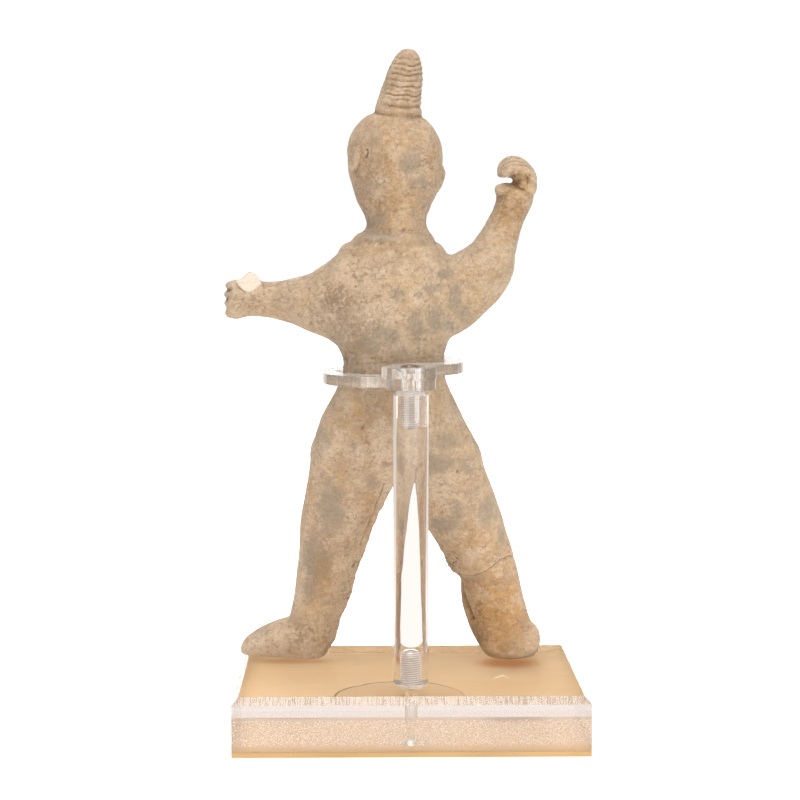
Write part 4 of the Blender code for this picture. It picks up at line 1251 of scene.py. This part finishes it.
def thread_tree():
    """Geometry nodes that cut a screw thread into the round wall of a piece."""
    sizes = dict.fromkeys(("Axis Y", "Pitch", "Depth", "Low", "High", "Reach"), "Float")
    tree, given, made = node_group("cut_thread", "GeometryNodeTree",
                                   {"Piece": "Geometry", **sizes, "Finish": "Material"},
                                   {"Piece": "Geometry"})

    def sums(operation, *values):
        return maths(tree, operation, *values)

    x, y, z = axes(tree, tree.nodes.new("GeometryNodeInputPosition").outputs[0])
    y = sums("SUBTRACT", y, given["Axis Y"])
    turn = sums("DIVIDE", sums("ARCTAN2", y, x), 2 * math.pi)
    rise = sums("SUBTRACT", sums("DIVIDE", z, given["Pitch"]), turn)
    wave = sums("ABSOLUTE", sums("SUBTRACT", sums("MULTIPLY", sums("FRACT", rise), 2), 1))
    radius = sums("SQRT", sums("ADD", sums("MULTIPLY", x, x), sums("MULTIPLY", y, y)))
    between = sums("MULTIPLY", sums("GREATER_THAN", z, given["Low"]),
                   sums("LESS_THAN", z, given["High"]))
    mask = sums("MULTIPLY", sums("LESS_THAN", radius, given["Reach"]), between)
    move = sums("MULTIPLY", sums("MULTIPLY", wave, mask), given["Depth"])
    share = sums("DIVIDE", move, sums("MAXIMUM", radius, 0.1 * MM))
    offset = add_node(tree, "ShaderNodeCombineXYZ",
                      {"X": sums("MULTIPLY", x, share), "Y": sums("MULTIPLY", y, share)})
    shift = add_node(tree, "GeometryNodeSetPosition",
                     {"Geometry": given["Piece"], "Offset": offset.outputs[0]})
    real = add_node(tree, "GeometryNodeRealizeInstances", {"Geometry": shift.outputs[0]})
    coated = add_node(tree, "GeometryNodeSetMaterial",
                      {"Geometry": real.outputs[0], "Material": given["Finish"]})
    feed(tree, made, {"Piece": coated.outputs[0]})
    return tree


def cut_thread(thing, tree, depth, low, high, finish):
    """One thread; a positive depth goes out into a hole's wall, a negative one into a shank."""
    modifier = thing.modifiers.new("thread", "NODES")
    modifier.node_group = tree
    names = {item.name: item.identifier for item in tree.interface.items_tree
             if item.in_out == "INPUT"}
    for name, size in (("Axis Y", POST_Y), ("Pitch", THREAD_PITCH), ("Depth", depth),
                       ("Low", low), ("High", high), ("Reach", THREAD_REACH)):
        modifier[names[name]] = size * MM
    modifier[names["Finish"]] = finish
    settle(thing)


def dense(start, end, radius):
    """Close rings along a straight wall, for a thread."""
    count = max(2, int(abs(end - start) / THREAD_STEP))
    return [(radius, height) for height in np.linspace(start, end, count)]


def make_post(threads, finish):
    """The rod, turned as one closed outline: outside upwards, then down into its top hole."""
    rim = POST_RADIUS - POST_CHAMFER
    mouth = TAPPED_RADIUS + HOLE_CHAMFER
    top_end = POST_TOP - TAPPED_DEPTH
    bottom_end = POST_BOTTOM + TAPPED_DEPTH
    hole_end = [(TAPPED_RADIUS * math.sin(a), TAPPED_RADIUS * math.cos(a) * 0.9)
                for a in np.linspace(0.01, 1.45, 10)]
    profile = [(radius, bottom_end + rise) for radius, rise in hole_end]
    profile += dense(bottom_end, POST_BOTTOM + HOLE_CHAMFER, TAPPED_RADIUS)
    profile += [(mouth, POST_BOTTOM), (rim, POST_BOTTOM),
                (POST_RADIUS, POST_BOTTOM + POST_CHAMFER), (POST_RADIUS, POST_TOP - POST_CHAMFER),
                (rim, POST_TOP), (mouth, POST_TOP)]
    profile += dense(POST_TOP - HOLE_CHAMFER, top_end, TAPPED_RADIUS)
    profile += [(radius, top_end - rise) for radius, rise in reversed(hole_end)]
    post = round_bar("clear_post", profile, y=POST_Y, segments=128)
    for low, high in ((POST_BOTTOM, bottom_end), (top_end, POST_TOP)):
        cut_thread(post, threads, HOLE_THREAD, low + THREAD_MARGIN, high - THREAD_MARGIN, finish)
    return post


def make_screw(name, head, tip, way, threads, finish, domed):
    """A countersunk screw, flat or domed; way is 1 when its head is on top."""
    profile = [(AXIS_RADIUS, head)]
    if domed:
        profile = [(AXIS_RADIUS, head + way * SCREW_DOME)]
        profile += [(SCREW_HEAD * math.sin(a), head + way * SCREW_DOME * math.cos(a))
                    for a in np.linspace(0.25, 1.45, 7)]
    profile += [(SCREW_HEAD, head), (SCREW_HEAD, head - way * SCREW_RIM),
                (SCREW_RADIUS, head - way * SCREW_NECK)]
    profile += dense(head - way * SCREW_SHANK, tip + way * SCREW_TIP, SCREW_RADIUS)
    profile += [(SCREW_RADIUS - SCREW_TIP, tip), (AXIS_RADIUS, tip)]
    screw = round_bar(name, profile, y=POST_Y, segments=64)
    low, high = (tip, POST_TOP) if way > 0 else (POST_BOTTOM, tip)
    cut_thread(screw, threads, -SCREW_THREAD, low + THREAD_MARGIN, high - THREAD_MARGIN, finish)
    return screw


def make_block():
    """The clear block, bevelled round its top and drilled from below for a screw."""
    low = BOARD_TOP - BOND
    mesh = mesh_of("clear_block", [box_shell((-BASE_HALF_WIDTH, -BASE_HALF_DEPTH, low),
                                             (BASE_HALF_WIDTH, BASE_HALF_DEPTH, BASE_TOP))])
    middle = BASE_TOP / 2 * MM
    bm = bmesh.new()
    bm.from_mesh(mesh)
    top = [edge for edge in bm.edges if all(v.co.z > middle for v in edge.verts)]
    bmesh.ops.bevel(bm, geom=top, offset=BASE_CHAMFER * MM, segments=1, affect="EDGES")
    upper = [edge for edge in bm.edges if max(v.co.z for v in edge.verts) > middle
             and edge.calc_face_angle(0) > 0.3]
    bmesh.ops.bevel(bm, geom=upper, offset=BASE_EDGE * MM, segments=2, affect="EDGES")
    bm.to_mesh(mesh)
    bm.free()
    block = new_object("clear_block", mesh)
    drill(block, BOARD_TOP + SEAT_LIFT, BASE_TOP)
    return block


def make_board():
    board = new_object("peach_board", mesh_of("peach_board", [box_shell(
        (-BASE_HALF_WIDTH, -BASE_HALF_DEPTH, 0.0), (BASE_HALF_WIDTH, BASE_HALF_DEPTH, BOARD_TOP))]))
    round_edges(board, 0.06)
    return board


def make_flake():
    """A curl of dried glue lying on the block by the right foot."""
    shells = []
    for bend, length in ((0.5, 5.5), (-0.75, 6.5)):
        stations = []
        for share in np.linspace(0.0, 1.0, 6):
            stations.append((-53.0 - length * share * math.sin(bend) * 1.4 - 1.0,
                             18.0 + length * share * math.cos(bend) * 2.2,
                             BASE_TOP + 0.32 + 0.5 * share * (1 - share),
                             0.28 * (1.05 - share), 0.75 * (1.05 - share)))
        shells.append(sweep(stations, side=(1.0, 0.0, 0.0), steps=2, segments=12))
    return new_object("glue_flake", mesh_of("glue_flake", shells))


# ---------------------------------------------------------------- assembly

def put(thing, slot_name, *nodes):
    """Sets a finished piece in the frame in place of its solids."""
    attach(thing, "root")
    if nodes:
        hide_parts(*nodes)


def dress(thing, materials, choose=None, degrees=18):
    """Gives a piece its materials, chooses one for each face and shades its curves smooth."""
    for material in materials:
        thing.data.materials.append(material)
    if choose:
        for face in thing.data.polygons:
            face.material_index = choose(face)
    shade_round(thing.data, degrees)


def block_face(face):
    """0 for the polished faces, 1 the sawn bevel, 2 the rubbed sides, with painted board light low
    down, and 3 the top.
    """
    up = face.normal.z
    outer = max(abs(face.center.x) / BASE_HALF_WIDTH, abs(face.center.y) / BASE_HALF_DEPTH)
    if STEEP < up < LEVEL and face.center.z > (BASE_TOP - BASE_CHAMFER - 0.5) * MM:
        return 1
    if abs(up) < STEEP and outer > 0.98 * MM and face.center.y > 5 * MM - BASE_HALF_DEPTH * MM:
        return 2
    return 3 if up > LEVEL and face.center.z > (BASE_TOP - 0.5) * MM else 0


def post_face(face):
    """0 for the polished wall, 1 the tapped holes and 2 the turned ends."""
    middle = face.center / MM
    if math.hypot(middle.x, middle.y - POST_Y) < TAPPED_RADIUS + 0.85:
        return 1
    return 2 if abs(face.normal.z) > STEEP else 0


def hook_face(face):
    """0 for the polished underside, 1 the cut edges and 2 the rubbed upper face."""
    if abs(face.normal.z) < 0.9:
        return 1
    return 2 if face.normal.z > 0 else 0


def build_stand():
    wear = handled_plastic_group()
    saw = saw_marks_group()
    tool = tool_marks_group()
    board_grain_and_shadow = board_grain_and_shadow_group()
    threads = thread_tree()
    polished = clear_finish("polished_acrylic", wear, 0.02, 0.06, POLISHED)

    block = make_block()
    bevel = sawn_finish("sawn_chamfer_acrylic", saw, 0.24, 0.12, {
        "Coarseness": 1400, "Stretch": (1, 0.05, 0.05), "Low": 0, "High": 0.1,
        "Plain": (0.52, 0.48, 0.46), "Streaks": (0.30, 0.24, 0.20)})
    # On the block's sides the deep orange, in the saw's grooves and low down, is painted light from
    # the board.
    rubbed_side_board_light = sawn_finish("rubbed_side_painted_board_light", saw, 0.25, 0.006, {
        "Coarseness": 1900, "Stretch": (0.7, 0.7, 1), "Low": 4.0 * MM, "High": 21.5 * MM,
        "Plain": (0.55, 0.485, 0.45), "Streaks": (0.80, 0.74, 0.66),
        "Deep": (0.54, 0.38, 0.21), "Board Light Share": 1})
    dress(block, [polished, bevel, rubbed_side_board_light, block_top_finish()], block_face)
    put(block, "base_block_acrylic", "base_block")

    board = make_board()
    # The board's cut edge takes a darker copy of its colours: painted shade.
    dress(board, [board_finish("peach_board", board_grain_and_shadow, *BOARD_FACE),
                  board_finish("board_edge_painted_shade", board_grain_and_shadow, *BOARD_EDGE_SHADED)],
          lambda face: int(abs(face.normal.z) <= 0.9))
    put(board, "peach_board", "backing_board")

    post = make_post(threads, clear_finish("clear_rod_acrylic", wear, 0, 0.01, (0.92, 0.89, 0.86)))
    # The thread's white crests and brown roots are painted highlight and painted shade.
    dress(post, [thread_finish("cut_thread_painted_light", 0.50, (0.98, 0.97, 0.96), (0.60, 0.50, 0.41)),
                 satin_finish("turned_edge_acrylic", tool, 0.35, 0.35, (0.93, 0.89, 0.85))],
          post_face)
    put(post, "post_acrylic", "post")

    cut_edge = sawn_finish("cut_edge_acrylic", saw, 0.06, 0.003, {
        "Coarseness": 400, "Stretch": (1, 1, 0.04), "Low": 0, "High": 0.4,
        "Plain": (0.95, 0.93, 0.90), "Streaks": (0.90, 0.87, 0.82)})
    rubbed = satin_finish("rubbed_face_acrylic", tool, 0.25, 0.22, (0.97, 0.95, 0.92))
    for name, side, reach, inner, start, bottom, boss_radius, boss_x, seated in HOOKS:
        hook = make_hook(name + "_clear_hook", hook_outline(side, reach, inner, start),
                         bottom, boss_radius, boss_x, seated)
        dress(hook, [polished, cut_edge, rubbed], hook_face)
        put(hook, name + "_hook_acrylic", name + "_hook")

    screw_plastic = satin_finish("clear_screw_acrylic", tool, 0.05, 0.06, (0.94, 0.90, 0.84))
    # Painted reflection: the clamp screw's head is tinted the dark brown of the clay seen in it.
    screw_head_painted_clay = satin_finish("clear_screw_head_painted_clay", tool, 0.20, 0.05, (0.24, 0.15, 0.07))
    hook_top = UPPER_PLATE + PLATE_THICK
    clamp = make_screw("clear_clamp_screw", hook_top + 0.1, POST_TOP - SCREW_DEPTH, 1,
                       threads, screw_plastic, True)
    base = make_screw("clear_base_screw", BOARD_TOP + SEAT_LIFT, POST_BOTTOM + SCREW_DEPTH, -1,
                      threads, screw_plastic, False)
    dress(clamp, [screw_head_painted_clay], lambda face: int(face.center.z > (hook_top - 3.2) * MM), 28)
    dress(base, [], None, 28)
    put(clamp, "clamp_screw_acrylic", "clamp_screw")
    put(base, "base_screw_acrylic", "base_screw")

    flake = make_flake()
    dress(flake, [glue_finish()], None, 40)
    put(flake, "peach_board")


def build_studio():
    """A pale floor, a white backdrop, a room that is brighter on one side, and four soft lamps."""
    mesh = bpy.data.meshes.new("floor")
    bm = bmesh.new()
    bmesh.ops.create_grid(bm, x_segments=1, y_segments=1, size=FLOOR_SIZE)
    bmesh.ops.translate(bm, vec=(0, 0, -FLOOR_GAP * MM), verts=bm.verts)
    bm.to_mesh(mesh)
    bm.free()
    floor = new_object("floor", mesh)
    floor.data.materials.append(floor_finish())

    world = bpy.data.worlds.new("studio")
    bpy.context.scene.world = world
    world.use_nodes = True
    tree = world.node_tree
    x, y = list(axes(tree, add_node(tree, "ShaderNodeTexCoord").outputs["Generated"]))[:2]
    room = tint(tree, curve(tree, x, -0.8, 0.8), ROOM_BRIGHT, ROOM_DIM)
    around = tint(tree, curve(tree, y, -0.93, -0.50), BACKDROP_THROUGH, room)
    seen = add_node(tree, "ShaderNodeLightPath").outputs["Is Camera Ray"]
    feed(tree, tree.nodes["Background"], {"Color": tint(tree, seen, around, BACKDROP)})

    for name, place, aim_height, size, power in LAMPS:
        data = bpy.data.lights.new(name, "AREA")
        data.shape = "RECTANGLE"
        data.size = data.size_y = size
        data.energy = power
        lamp = new_object(name, data)
        lamp.location = place
        aim = Vector((0, 0, aim_height)) - Vector(place)
        lamp.rotation_euler = aim.to_track_quat("-Z", "Y").to_euler()


def build_camera():
    data = bpy.data.cameras.new("camera")
    data.lens = LENS
    data.sensor_width = SENSOR_WIDTH
    data.clip_start = 0.01
    camera = new_object("camera", data)
    camera.location = CAMERA_PLACE
    level = math.cos(CAMERA_PITCH)
    aim = Vector((-math.sin(CAMERA_YAW) * level, -math.cos(CAMERA_YAW) * level,
                  -math.sin(CAMERA_PITCH)))
    camera.rotation_euler = aim.to_track_quat("-Z", "Y").to_euler()
    bpy.context.scene.camera = camera


build_camera()
build_studio()
build_stand()
figure = make_figure()
put(figure, "terracotta", "figure")
bpy.context.scene.view_settings.view_transform = "Standard"
